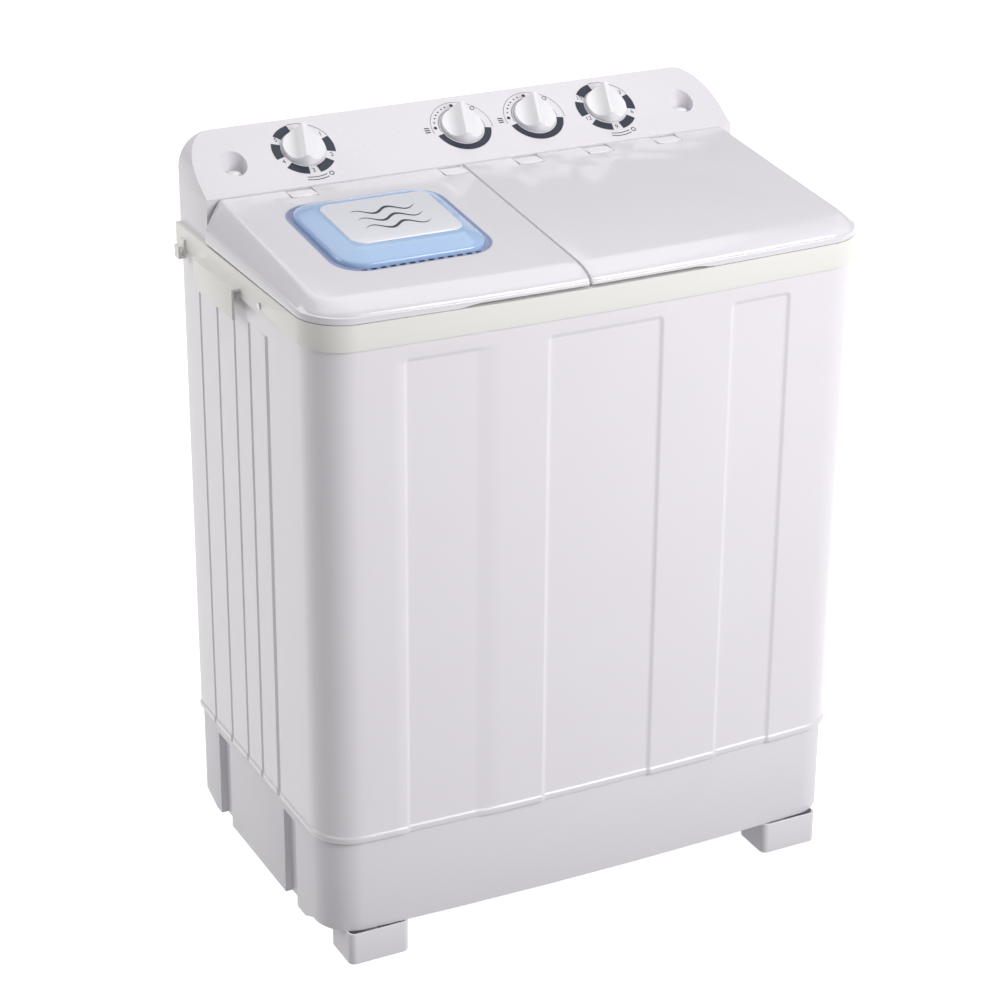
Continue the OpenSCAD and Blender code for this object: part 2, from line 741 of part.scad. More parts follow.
// ---------------------------------------------------------------- wash side
tub_z = floor_z;
pulsator_r = min(wash_x1 - wash_x0, tub_y1 - tub_y0) / 2 - tub_wall - pulsator_gap;
pulley_z = tub_z - 118;
pulley_h = 16;
groove = 5;
housing_r = 19;
motor_y = back_y - wall - wash_motor_r - 9;
motor_top = tub_z - 8;
drain_x = split_x - 18;
drain_y = tub_y1 + 40;
overflow_w = 34;

module wash_tub() {
    color("aliceblue") difference() {
        union() {
            shift(z = tub_z) linear_extrude(rim_z - tub_z) wash_plan(0);
            shift(wash_x, wash_y, tub_z - 14) cylinder(r = housing_r + 9, h = 15);
        }
        shift(z = tub_z + tub_wall + 2) linear_extrude(rim_z) wash_plan(tub_wall);
        shift(wash_x, wash_y, tub_z - 20) cylinder(r = housing_r, h = 40);
        shift(wash_x0 + 26, tub_y1 - 60, tub_z - eps) cylinder(r = 9, h = tub_wall + 3);
        shift(inlet_x, tub_y1 + eps, spout_z) rotate([90, 0, 0])
            cylinder(r = inlet_r + play, h = tub_wall + 2 * eps);
    }
}
module overflow_cover() {
    // a slotted channel cover on the tub's left wall, over the overflow and the tub drain
    h = 300;
    color("white") shift(wash_x0 + tub_wall + play / 5, wash_y + 14, tub_z + tub_wall + 2.1) difference() {
        linear_extrude(h) translate([0, -overflow_w / 2]) square([16, overflow_w]);
        shift(z = -eps) linear_extrude(h - 3) translate([-eps, -overflow_w / 2 + 2])
            square([14 + eps, overflow_w - 4]);
        for (i = [0:7]) box([12, -10, 14 + i * 12], [20, 10, 19 + i * 12]);
    }
}
filter_w = 110;
filter_d = 26;
filter_h = 150;
module lint_filter() {
    color("lightblue")
    shift(wash_x, tub_y1 - tub_wall - play - filter_d / 2, rim_z - 90 - filter_h) difference() {
        linear_extrude(filter_h) rounded(filter_w, filter_d, 6);
        shift(z = 3) linear_extrude(filter_h) rounded(filter_w - 5, filter_d - 5, 4);
        for (ix = [-3:3], iz = [0:7])
            box([ix * 14 - 4.5, -filter_d, 14 + iz * 16], [ix * 14 + 4.5, 0, 25 + iz * 16]);
    }
}
module pulsator() {
    fins = 6;
    z0 = tub_z + tub_wall + 2 + 6;
    color("lightblue") shift(wash_x, wash_y, z0) difference() {
        union() {
            cylinder(r = pulsator_r, h = 6);
            shift(z = 6) cylinder(r1 = pulsator_r - 4, r2 = 62, h = 14);
            cylinder(r = 46, h = 30);
            shift(z = 30) cylinder(r1 = 46, r2 = 30, h = 6);
            for (i = [0:fins - 1]) rotate(i * 360 / fins) intersection() {
                cylinder(r = pulsator_r - 4, h = 34);
                shift(x = 30) rotate([0, 6, 0]) shift(z = 2) linear_extrude(24)
                    translate([0, -6]) square([pulsator_r, 12]);
            }
        }
        shift(z = -eps) cylinder(r = wash_shaft_r, h = 24 + eps);
        shift(z = -eps) cylinder(r = 3, h = 60);
        shift(z = 28) cylinder(r = 9, h = 20);
        shift(z = -eps) tube(pulsator_r - 12, housing_r + 12, 4 + eps);
    }
}
module pulsator_screw() {
    z0 = tub_z + tub_wall + 2 + 6;
    color("silver") shift(wash_x, wash_y, z0) {
        shift(z = 28) cylinder(r = 8.5, h = 4);
        shift(z = 24) cylinder(r = 3 - fit, h = 5);
    }
}
shaft_top = tub_z + tub_wall + 2 + 6 + 24;
module wash_shaft() {
    color("silver") shift(wash_x, wash_y, pulley_z - 6) difference() {
        cylinder(r = wash_shaft_r, h = shaft_top - pulley_z + 6);
        shift(z = shaft_top - pulley_z + 6 - 12) cylinder(r = 3, h = 14);
    }
}
module shaft_housing() {
    color("slategray") shift(wash_x, wash_y, pulley_z + pulley_h + 6) difference() {
        union() {
            cylinder(r = housing_r, h = tub_z + 4 - pulley_z - pulley_h - 6);
            shift(z = tub_z - 30 - pulley_z - pulley_h - 6) cylinder(r = housing_r + 16, h = 15);
        }
        shift(z = -eps) cylinder(r = wash_shaft_r + fit, h = 300);
    }
}
module shaft_seal() {
    color("dimgray") shift(wash_x, wash_y, tub_z + 4) tube(housing_r - 2, wash_shaft_r + fit, 5);
}
module pulley(r, bore, h) {
    difference() {
        union() {
            rotate_extrude() polygon([[bore, 0], [r + 4, 0], [r + 4, 2], [r - groove, h / 2 - 2],
                [r - groove, h / 2 + 2], [r + 4, h - 2], [r + 4, h], [bore, h]]);
        }
        if (r > 60) for (a = [0:60:300]) rotate(a) shift(x = r * 0.52, z = -eps)
            cylinder(r = r * 0.16, h = h + 2 * eps);
    }
}
module wash_pulley() { color("gray") shift(wash_x, wash_y, pulley_z) pulley(pulley_r, wash_shaft_r, pulley_h); }
module motor_pulley() {
    // pulley, shaft and rotor of the wash motor turn as one piece
    color("gray") shift(wash_x, motor_y, pulley_z) {
        pulley(motor_pulley_r, 0, pulley_h);
        shift(z = pulley_h - eps) cylinder(r = 6, h = motor_top - pulley_z - pulley_h - 22);
        shift(z = motor_top - wash_motor_h - pulley_z + 14) cylinder(r = 34, h = wash_motor_h - 46);
    }
}
belt_t = 6;
module belt_run(r0, r1) {
    // outline round both pulleys: two circles and the straight sides that touch them
    d = motor_y - wash_y;
    lean = asin((r0 - r1) / d);
    circle(r0);
    translate([0, d]) circle(r1);
    polygon([[r0 * cos(lean), r0 * sin(lean)], [r1 * cos(lean), d + r1 * sin(lean)],
        [-r1 * cos(lean), d + r1 * sin(lean)], [-r0 * cos(lean), r0 * sin(lean)]]);
}
module drive_belt() {
    in = groove - 0.3;
    color("black") shift(wash_x, wash_y, pulley_z + pulley_h / 2 - 1.5) linear_extrude(3) difference() {
        belt_run(pulley_r - in + belt_t, motor_pulley_r - in + belt_t);
        belt_run(pulley_r - in, motor_pulley_r - in);
    }
}
module wash_motor() {
    color("dimgray") shift(wash_x, motor_y, motor_top - wash_motor_h) difference() {
        union() {
            shift(z = 8) cylinder(r = wash_motor_r, h = wash_motor_h - 16);
            cylinder(r = wash_motor_r - 12, h = wash_motor_h);
        }
        shift(z = 8) cylinder(r = 36, h = wash_motor_h - 24);
        shift(z = -eps) cylinder(r = 6 + fit, h = wash_motor_h - 10);
    }
}
module motor_plate() {
    // carries the motor and hangs from the tub's floor by four studs
    y0 = tub_y1 - 74;
    y1 = back_y - wall - 6;
    color("silver") shift(wash_x, 0, motor_top + play / 5) {
        shift(y = (y0 + y1) / 2) linear_extrude(3) rounded(150, y1 - y0, 20);
        for (sx = [-1, 1], y = [tub_y1 - 22, tub_y1 - 60]) shift(sx * 60, y, 3 - eps)
            cylinder(r = 6, h = tub_z - motor_top - play / 5 - 3 + eps - 0.1);
    }
}

// ---------------------------------------------------------------- spin side
basket_z = tub_z + 26;
spin_motor_z = base_floor_z + floor_t + 34;
brake_z = spin_motor_z + spin_motor_h + 10;
brake_h = 26;
module spin_case() {
    color("aliceblue") difference() {
        shift(spin_x, spin_y, tub_z) cylinder(r = case_r, h = rim_z - tub_z, $fn = 96);
        shift(spin_x, spin_y, tub_z + tub_wall + 1) cylinder(r = case_r - tub_wall, h = rim_z, $fn = 96);
        shift(spin_x, spin_y, tub_z - eps) cylinder(r = bellows_r, h = 10);
        shift(spin_x + case_r - 26, spin_y, tub_z - eps) cylinder(r = 9, h = 10);
    }
}
bellows_r = 26;
module bellows_seal() {
    color("dimgray") shift(spin_x, spin_y, 0) rotate_extrude() polygon([
        [spin_shaft_r + fit, tub_z - 30], [bellows_r - 8, tub_z - 30], [bellows_r - 3, tub_z - 22],
        [bellows_r - 8, tub_z - 14], [bellows_r - 3, tub_z - 6], [bellows_r - 5, tub_z - 1],
        [bellows_r, tub_z], [bellows_r, tub_z + 4], [bellows_r - 8, tub_z + 8],
        [spin_shaft_r + fit, tub_z + 12]]);
}
module spin_basket() {
    rows = 7;
    around = 20;
    color("lightblue") shift(spin_x, spin_y, basket_z) difference() {
        union() {
            cylinder(r = basket_r, h = basket_h, $fn = 96);
        }
        shift(z = 4) cylinder(r = basket_r - basket_wall, h = basket_h, $fn = 96);
        shift(z = -eps) cylinder(r = spin_shaft_r, h = 20);
        for (row = [0:rows - 1], i = [0:around - 1])
            rotate((i + (row % 2) / 2) * 360 / around) shift(z = 30 + row * (basket_h - 70) / (rows - 1))
                rotate([0, 90, 0]) shift(z = basket_r - 8) cylinder(r = basket_hole_r, h = 16, $fn = 16);
    }
    color("lightblue") shift(spin_x, spin_y, basket_z + 4) rotate_extrude() polygon([[spin_shaft_r, -eps],
        [46, -eps], [24, 22], [16, 40], [spin_shaft_r, 40]]);
}
module balance_ring() {
    color("white") shift(spin_x, spin_y, basket_z + basket_h) tube(basket_r, basket_r - 16, 18);
}
module spin_shaft() {
    color("silver") shift(spin_x, spin_y, spin_motor_z + 8) {
        cylinder(r = spin_shaft_r, h = basket_z + 30 - spin_motor_z - 8);
        shift(z = 6) cylinder(r = 34, h = spin_motor_h - 30);
    }
}
module brake_drum() {
    color("darkgray") shift(spin_x, spin_y, brake_z) difference() {
        union() {
            cylinder(r = brake_r, h = brake_h);
            shift(z = brake_h - eps) cylinder(r = 16, h = 22);
        }
        shift(z = -eps) cylinder(r = spin_shaft_r, h = 60);
        shift(z = 4) tube(brake_r - 4, 18, brake_h);
    }
}
lever_pivot_x = brake_r + 16;
lever_pivot_y = 30;
module brake_lever() {
    // a shoe on a lever, pulled off the drum while the spin lid is shut
    color("silver") shift(spin_x, spin_y, brake_z + 3) difference() {
        union() {
            intersection() {
                tube(brake_r + 7.5, brake_r + 1.5, brake_h - 8);
                box([24, -brake_r - 10, 0], [brake_r + 12, 26, brake_h]);
            }
            shift(lever_pivot_x, lever_pivot_y) cylinder(r = 9, h = brake_h - 8);
            box([brake_r * 0.84, 18, 0], [lever_pivot_x, lever_pivot_y + 3, 6]);
            box([lever_pivot_x - 3, lever_pivot_y, 0], [lever_pivot_x + 3, lever_pivot_y + 46, 6]);
        }
        shift(lever_pivot_x, lever_pivot_y, -eps) cylinder(r = 4 + fit, h = brake_h);
        cylinder(r = brake_r + 1.5, h = 40, center = true);
    }
}
module spin_motor() {
    color("dimgray") shift(spin_x, spin_y, spin_motor_z) {
        difference() {
            union() {
                shift(z = 8) cylinder(r = spin_motor_r, h = spin_motor_h - 16);
                cylinder(r = spin_motor_r - 12, h = spin_motor_h);
                for (a = [90, 210, 330]) rotate(a) box([spin_motor_r - 8, -12, 8], [spin_motor_r + 24, 12, 13]);
                shift(lever_pivot_x, lever_pivot_y, 40) cylinder(r = 7, h = brake_z - spin_motor_z - 38);
                box([spin_motor_r - 30, lever_pivot_y - 7, 40], [lever_pivot_x, lever_pivot_y + 7, 60]);
            }
            shift(z = 8) cylinder(r = 36, h = spin_motor_h - 18);
            shift(z = 2) cylinder(r = spin_shaft_r + fit, h = spin_motor_h);
        }
        shift(lever_pivot_x, lever_pivot_y, brake_z - spin_motor_z) cylinder(r = 4, h = brake_h);
    }
}
module spin_springs() {
    // rubber-cored springs between the motor's three arms and the floor
    turns = 5;
    spring_h = spin_motor_z + 8 - base_floor_z - floor_t - 0.1;
    color("dimgray") for (a = [90, 210, 330]) shift(spin_x, spin_y, base_floor_z + floor_t + 0.05) rotate(a)
        shift(x = spin_motor_r + 12) rotate_extrude() polygon(concat([[0, 0]],
            [for (i = [0:2 * turns]) [i % 2 == 0 ? 8.5 : 11, i * spring_h / (2 * turns)]], [[0, spring_h]]));
}

// ---------------------------------------------------------------- water
valve_z = tub_z - 74;
valve_r = 22;
valve_in = valve_r - 3;
plug_r = valve_in - 1.5;
drain_out_z = base_z + 70;
module drain_valve() {
    // body with an inlet from each tub
    color("white") difference() {
        union() {
            shift(drain_x, drain_y, valve_z) cylinder(r = valve_r, h = 64);
            shift(drain_x + valve_r - 4, drain_y - 12, valve_z + 44) rotate([0, 90, 0]) cylinder(r = 9, h = 26);
            shift(drain_x - valve_r + 4, drain_y - 12, valve_z + 44) rotate([0, -90, 0])
                cylinder(r = 9, h = 26);
        }
        shift(drain_x, drain_y, valve_z + 12) cylinder(r = valve_in, h = 48);
        shift(drain_x, drain_y, valve_z - eps) cylinder(r = drain_r - 3, h = 20);
        shift(drain_x, drain_y, valve_z + 50) cylinder(r = 3.5, h = 20);
        shift(drain_x, drain_y - 12, valve_z + 44) rotate([0, 90, 0]) cylinder(r = 6, h = 120, center = true);
    }
}
rod_top = deck_z + 16;
module drain_plug() {
    // rubber plug on its pull rod, lifted by the drain selector
    color("slategray") shift(drain_x, drain_y, valve_z + 12 + 0.1) {
        cylinder(r = plug_r, h = 8);
        shift(z = 8) cylinder(r = 8, h = 10);
        cylinder(r = 2.5, h = rod_top - valve_z - 12);
    }
}
module drain_pipe() {
    bend = 34;
    color("gainsboro") difference() {
        union() {
            shift(drain_x, drain_y, drain_out_z + bend)
                cylinder(r = drain_r, h = valve_z - drain_out_z - bend - 0.1);
            shift(drain_x, drain_y + bend, drain_out_z + bend) rotate([90, 0, 90])
                rotate_extrude_quarter(bend, drain_r);
            shift(drain_x, drain_y + bend, drain_out_z) rotate([-90, 0, 0])
                cylinder(r = drain_r, h = back_y + stub_l - drain_y - bend);
            shift(drain_x, back_y, drain_out_z) stub_collar(drain_r);
        }
        shift(drain_x, drain_y, drain_out_z + bend - 0.01) cylinder(r = drain_r - 3, h = 400);
        shift(drain_x, drain_y + bend, drain_out_z + bend) rotate([90, 0, 90])
            rotate_extrude_quarter(bend, drain_r - 3);
        shift(drain_x, drain_y + bend - 0.01, drain_out_z) rotate([-90, 0, 0])
            cylinder(r = drain_r - 3, h = 300);
    }
}
module rotate_extrude_quarter(bend, r) {
    rotate(180) rotate_extrude(angle = 90) translate([bend, 0]) circle(r);
}
// a shoulder that stops the hose where its stub leaves the machine
module stub_collar(r) {
    rotate([-90, 0, 0]) shift(z = 0.3) cylinder(r = r + 3.5, h = stub_l - hose_grip - 0.3);
}

inlet_x = wash_x;
inlet_z = deck_z + 25;
spout_z = deck_z - inlet_r - 9;
module inlet_pipe() {
    // hose stub behind the console, a drop through the deck and a spout through the wash tub's wall
    y = console_y + 34;
    color("gainsboro") difference() {
        union() {
            shift(inlet_x, y, inlet_z) rotate([-90, 0, 0]) cylinder(r = inlet_r, h = back_y + stub_l - y);
            shift(inlet_x, back_y, inlet_z) stub_collar(inlet_r);
            shift(inlet_x, y, spout_z - inlet_r) cylinder(r = inlet_r, h = inlet_z - spout_z + 2 * inlet_r);
            shift(inlet_x, y, spout_z) rotate([90, 0, 0]) cylinder(r = inlet_r, h = y - tub_y1 + 10);
        }
        shift(inlet_x, y - 0.01, inlet_z) rotate([-90, 0, 0]) cylinder(r = inlet_r - 3, h = 300);
        shift(inlet_x, y, spout_z) cylinder(r = inlet_r - 3, h = inlet_z - spout_z);
        shift(inlet_x, y + 0.01, spout_z) rotate([90, 0, 0]) cylinder(r = inlet_r - 3, h = 300);
    }
}

base();
foot(-1, 0);  // foot_front_left
foot(1, 0);  // foot_front_right
foot(-1, 1);  // foot_rear_left
foot(1, 1);  // foot_rear_right
cabinet();
rear_cover();
top_frame();
side_screws();
hose_hook();
cord_gland();
console_cover();
console_back();
console_screws();
switch_bracket();
control_body(knob_xs[0], 50, timer_h);  // spin_timer
control_body(knob_xs[1], 40, switch_h);  // drain_selector
control_body(knob_xs[2], 40, switch_h);  // wash_selector
control_body(knob_xs[3], 50, timer_h);  // wash_timer
knob(knob_xs[0], timer_h);  // spin_timer_knob
knob(knob_xs[1], switch_h);  // drain_knob
knob(knob_xs[2], switch_h);  // wash_knob
knob(knob_xs[3], timer_h);  // wash_timer_knob
lid_switch();
capacitors();
wash_lid();
wash_hinge_pins();
spin_lid();
spin_hinge_pins();
vent_cap();
vent_plaque();
inner_cover();
inner_cover_pins();
wash_tub();
overflow_cover();
lint_filter();
pulsator();
pulsator_screw();
wash_shaft();
shaft_housing();
shaft_seal();
wash_pulley();
drive_belt();
motor_pulley();
wash_motor();
motor_plate();
spin_case();
spin_basket();
balance_ring();
spin_shaft();
bellows_seal();
brake_drum();
brake_lever();
spin_motor();
spin_springs();
drain_valve();
drain_plug();
drain_pipe();
inlet_pipe();
cover_screws();
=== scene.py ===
# %% [markdown]
# # A twin tub washer, dressed over its engineering frame
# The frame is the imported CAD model. Every piece made here takes its place from that frame, in metres,
# so nothing has to be fitted by eye. Shapes are worked out in millimetres, as a maker reads them.

# %% Load the frame
import json
import math
import bmesh
import bpy
from mathutils import Matrix, Vector


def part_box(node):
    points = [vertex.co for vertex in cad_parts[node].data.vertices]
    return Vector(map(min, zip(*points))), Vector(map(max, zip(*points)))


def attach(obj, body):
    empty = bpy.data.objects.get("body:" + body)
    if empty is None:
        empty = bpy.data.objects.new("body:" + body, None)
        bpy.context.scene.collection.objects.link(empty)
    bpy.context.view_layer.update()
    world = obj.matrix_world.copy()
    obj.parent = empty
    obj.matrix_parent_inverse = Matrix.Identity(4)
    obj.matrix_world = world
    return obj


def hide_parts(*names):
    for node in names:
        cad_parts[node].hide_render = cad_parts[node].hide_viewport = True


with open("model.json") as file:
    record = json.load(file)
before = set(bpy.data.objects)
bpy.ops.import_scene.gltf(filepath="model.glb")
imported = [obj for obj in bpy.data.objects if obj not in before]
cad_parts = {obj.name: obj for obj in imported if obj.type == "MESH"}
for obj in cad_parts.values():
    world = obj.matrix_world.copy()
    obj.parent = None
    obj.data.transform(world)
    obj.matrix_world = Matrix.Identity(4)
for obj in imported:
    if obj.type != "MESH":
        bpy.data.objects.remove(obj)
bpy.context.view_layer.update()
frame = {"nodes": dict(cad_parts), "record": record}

print("frame loaded,", len(frame["nodes"]), "nodes")

# %% [markdown]
# ## Sizes
# The washer's main sizes come from the boxes of the CAD nodes. What a box can't tell, such as a corner's
# radius, is the same round number that the designer chose.

# %% Read sizes from the frame
MM = 0.001


def span(node):
    """Lowest and highest corner of a node, in millimetres."""
    low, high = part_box(node)
    return low / MM, high / MM


cabinet_low, cabinet_high = span("cabinet")
HALF_W = cabinet_high.x
FRONT_Y = cabinet_low.y
BACK_Y = cabinet_high.y
CABINET_Z, BAND_Z = cabinet_low.z, cabinet_high.z
DECK_Z = BAND_Z + 32
CORNER_R = 54
BOW = 11.5
LID_OUT = 3.5
LID_BACK = span("wash_lid")[1].y
LID_HIGH = span("wash_lid")[1].z
LID_SLOPE = math.radians(5.8)
SPLIT = span("wash_lid")[0].x - 1.5
print("cabinet half width", round(HALF_W, 1), "front", round(FRONT_Y, 1), "split", round(SPLIT, 1))

# %% [markdown]
# ## A body outline made of stations
# Seen from above, the cabinet has a straight back, round front corners and a front that bows out a
# little. A station is a point on that outline with the direction that points inwards. Each shell of the
# washer is then rows of the same stations, moved in or out and stacked in height, so neighbours follow
# one another exactly.


# %% Stations of the outline
def spread(start, stop, step, extra=()):
    """Even values from start to stop with some exact ones added, in order."""
    count = max(1, round(abs(stop - start) / step))
    low, high = min(start, stop), max(start, stop)
    values = {round(start + (stop - start) * i / count, 4) for i in range(count + 1)}
    values |= {round(v, 4) for v in extra if low < v < high}
    return sorted(values, reverse=start > stop)


def half_outline(x_end, y_start, front_extra=(), side_extra=()):
    """Stations on the right half: down the side from y_start, round the corner and along the bow to x_end."""
    bow_r = (HALF_W ** 2 + BOW ** 2) / (2 * BOW)
    bow_y = FRONT_Y + bow_r
    corner_x = HALF_W - CORNER_R
    corner_y = bow_y - math.sqrt((bow_r - CORNER_R) ** 2 - corner_x ** 2)
    tangent = math.atan2(corner_y - bow_y, corner_x)
    stations = [(Vector((HALF_W, y)), Vector((-1, 0))) for y in spread(y_start, corner_y, 24, side_extra)]
    for i in range(1, 16):
        a = tangent * i / 16
        n = Vector((math.cos(a), math.sin(a)))
        stations.append((Vector((corner_x, corner_y)) + n * CORNER_R, -n))
    for x in spread(corner_x * bow_r / (bow_r - CORNER_R), x_end, 14, front_extra):
        p = Vector((x, bow_y - math.sqrt(bow_r ** 2 - x ** 2)))
        stations.append((p, (Vector((0, bow_y)) - p).normalized()))
    return stations


def mirrored(stations):
    return [(Vector((-p.x, p.y)), Vector((-n.x, n.y))) for p, n in stations]


def full_outline(front_extra=(), side_extra=(), back_extra=()):
    """The closed outline, from the middle of the back round the right side, the front and the left."""
    back_r = 6
    right = [(Vector((x, BACK_Y)), Vector((0, -1))) for x in spread(0, HALF_W - back_r, 30, back_extra)]
    for i in range(1, 6):
        a = math.radians(90 - 15 * i)
        n = Vector((math.cos(a), math.sin(a)))
        right.append((Vector((HALF_W - back_r, BACK_Y - back_r)) + n * back_r, -n))
    right += half_outline(0, BACK_Y - back_r, front_extra, side_extra)
    return right + mirrored(right)[-2:0:-1]


print("outline has", len(full_outline()), "stations")

# %% [markdown]
# ## From rows of points to a piece
# A loft joins each row of points to the next with four-sided faces. The functions here make the mesh,
# mark edges as sharp where the surface really turns, give it a material and tie it to a body.


# %% Helpers that make pieces
def loft(rows, closed=True, first_cap=False, last_cap=False):
    points = [p for row in rows for p in row]
    n = len(rows[0])
    reach = n if closed else n - 1
    faces = [[r * n + i, r * n + (i + 1) % n, (r + 1) * n + (i + 1) % n, (r + 1) * n + i]
             for r in range(len(rows) - 1) for i in range(reach)]
    if first_cap:
        faces.append(list(range(n))[::-1])
    if last_cap:
        faces.append([(len(rows) - 1) * n + i for i in range(n)])
    return points, faces


def join(*parts):
    """One list of points and faces from several."""
    points, faces = [], []
    for p, f in parts:
        faces += [[i + len(points) for i in face] for face in f]
        points += p
    return points, faces


def new_piece(name, shape, material, body, replaced=(), sharp=32, outward=True):
    points, faces = shape
    mesh = bpy.data.meshes.new(name)
    mesh.from_pydata([Vector(p) * MM for p in points], [], faces)
    if outward:
        work = bmesh.new()
        work.from_mesh(mesh)
        bmesh.ops.remove_doubles(work, verts=work.verts, dist=1e-6)
        bmesh.ops.recalc_face_normals(work, faces=work.faces)
        work.to_mesh(mesh)
        work.free()
    piece = bpy.data.objects.new(name, mesh)
    bpy.context.scene.collection.objects.link(piece)
    mesh.materials.append(material)
    shade(piece, sharp)
    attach(piece, body)
    for node in replaced:
        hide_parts(node)
    return piece


def shade(piece, sharp):
    piece.data.polygons.foreach_set("use_smooth", [True] * len(piece.data.polygons))
    piece.data.set_sharp_from_angle(angle=math.radians(sharp))


def modify(piece, kind, sharp=32, **settings):
    """Adds one modifier and keeps its result as the mesh."""
    modifier = piece.modifiers.new(kind.lower(), kind)
    for key, value in settings.items():
        setattr(modifier, key, value)
    graph = bpy.context.evaluated_depsgraph_get()
    old, piece.data = piece.data, bpy.data.meshes.new_from_object(piece.evaluated_get(graph))
    piece.modifiers.clear()
    bpy.data.meshes.remove(old)
    shade(piece, sharp)


# %% [markdown]
# ## Colour and node helpers
# Paint and plastic colours are given as sRGB hex values, as on a colour card. The renderer works in
# linear light, so one function converts them. One more adds a node with its settings and its links.


# %% Helpers for materials
def linear(code):
    channels = [int(code[i:i + 2], 16) / 255 for i in (0, 2, 4)]
    return [c / 12.92 if c <= 0.04045 else ((c + 0.055) / 1.055) ** 2.4 for c in channels] + [1.0]


def node(tree, kind, links=None, **settings):
    made = tree.nodes.new(kind)
    for key, value in settings.items():
        if hasattr(made, key):
            setattr(made, key, value)
        else:
            made.inputs[key.replace("_", " ")].default_value = value
    for socket, source in (links or {}).items():
        tree.links.new(source, made.inputs[socket])
    return made


def start_material(name, **shader):
    material = bpy.data.materials.new(name)
    material.use_nodes = True
    tree = material.node_tree
    surface = tree.nodes["Principled BSDF"]
    for key, value in shader.items():
        surface.inputs[key.replace("_", " ")].default_value = value
    place = node(tree, "ShaderNodeTexCoord").outputs["Object"]
    return material, tree, surface, place


def finish_material(name, colour, other, roughness, rough_drift=0.04, cloud_mm=90, grain_mm=1.0,
                    grain_depth_mm=0.01, wave_mm=0, wave_depth_mm=0.0, **shader):
    """A moulded or enamelled surface: cloudy colour from `colour` to `other`, a roughness that drifts,
    fine grain of grain_mm and, if wave_mm is given, the long soft waves of a large thin panel."""
    material, tree, surface, place = start_material(name, **shader)
    cloud = node(tree, "ShaderNodeTexNoise", {"Vector": place}, Scale=1 / (cloud_mm * MM), Detail=3.0)
    tint = node(tree, "ShaderNodeMix", {"Factor": cloud.outputs["Fac"]}, data_type="RGBA")
    tint.inputs["A"].default_value = linear(colour)
    tint.inputs["B"].default_value = linear(other)
    tree.links.new(tint.outputs["Result"], surface.inputs["Base Color"])
    wear = node(tree, "ShaderNodeTexNoise", {"Vector": place}, Scale=1 / (cloud_mm * 0.3 * MM), Detail=5.0)
    drift = node(tree, "ShaderNodeMapRange", {"Value": wear.outputs["Fac"]})
    drift.inputs["To Min"].default_value = roughness - rough_drift
    drift.inputs["To Max"].default_value = roughness + rough_drift
    tree.links.new(drift.outputs["Result"], surface.inputs["Roughness"])
    grain = node(tree, "ShaderNodeTexNoise", {"Vector": place}, Scale=1 / (grain_mm * MM), Detail=2.0)
    bump = node(tree, "ShaderNodeBump", {"Height": grain.outputs["Fac"]}, Strength=1.0,
                Distance=grain_depth_mm * MM)
    if wave_mm:
        wave = node(tree, "ShaderNodeTexNoise", {"Vector": place}, Scale=1 / (wave_mm * MM), Detail=1.0)
        bump = node(tree, "ShaderNodeBump", {"Height": wave.outputs["Fac"], "Normal": bump.outputs["Normal"]},
                    Strength=1.0, Distance=wave_depth_mm * MM)
    tree.links.new(bump.outputs["Normal"], surface.inputs["Normal"])
    return material


# %% [markdown]
# ## The finishes
# Each one starts from what the real surface is. White goods are never pure white: the enamel is a cool
# white, the moulded parts each have their own slightly different white, and that difference is what lets
# the eye tell the pieces apart.

# %% Plastics and enamel
# Enamelled steel: a sprayed coat with faint orange peel, so its gloss is soft and slightly uneven.
enamel = finish_material("enamelled_steel", "ECE7EF", "EFEBF1", 0.30, grain_mm=2.2, grain_depth_mm=0.012,
                         wave_mm=160, wave_depth_mm=0.35, IOR=1.5, Coat_Weight=0.25, Coat_Roughness=0.2)
# Polypropylene, injection moulded: waxy, with the fine grain of the tool.
polypropylene = finish_material("moulded_polypropylene", "E6E3EA", "E9E6EC", 0.42, grain_mm=0.9,
                                grain_depth_mm=0.018, IOR=1.49)
# ABS with a satin surface: a warmer white than the enamel below it.
satin_abs = finish_material("satin_abs", "F1EFEA", "F3F1ED", 0.33, grain_mm=0.8, grain_depth_mm=0.01, IOR=1.53)
# ABS from a polished tool: it mirrors lamps softly, and long sink marks bend the reflections.
gloss_abs = finish_material("polished_abs", "E8E5EC", "EAE8ED", 0.16, rough_drift=0.015, grain_mm=3.0,
                            grain_depth_mm=0.003, wave_mm=140, wave_depth_mm=0.25, IOR=1.53,
                            Coat_Weight=0.3, Coat_Roughness=0.06)
# ABS for the hinge tabs: a little lighter and duller than the lids, so the tabs can be told from them.
tab_abs = finish_material("tab_abs", "F0EEF3", "F3F1F5", 0.3, rough_drift=0.015, grain_mm=0.8,
                          grain_depth_mm=0.008, IOR=1.53)
# ABS for the console: less polished than the lids, so the printing on it stays easy to read.
console_abs = finish_material("console_abs", "E6E2E9", "E9E5EB", 0.27, rough_drift=0.012, grain_mm=1.0,
                              grain_depth_mm=0.006, wave_mm=120, wave_depth_mm=0.12, IOR=1.53)
# ABS for the knobs: the whitest of the whites, which lifts them from the console.
knob_abs = finish_material("knob_abs", "F0EFF3", "F3F2F5", 0.24, grain_mm=0.7, grain_depth_mm=0.006, IOR=1.53)
# ABS coloured in the mass: the cap in pale blue; the tray under it darker and greyer, painted shade for the
# recess.
blue_abs = finish_material("pale_blue_abs", "A6C2E8", "AAC6EB", 0.17, grain_mm=2.0, grain_depth_mm=0.004,
                           IOR=1.53, Coat_Weight=0.3, Coat_Roughness=0.08)
painted_shade_blue_abs = finish_material("painted_shade_blue_abs", "98A3C4", "9FAACB", 0.35, grain_mm=1.0,
                                grain_depth_mm=0.01, IOR=1.53)
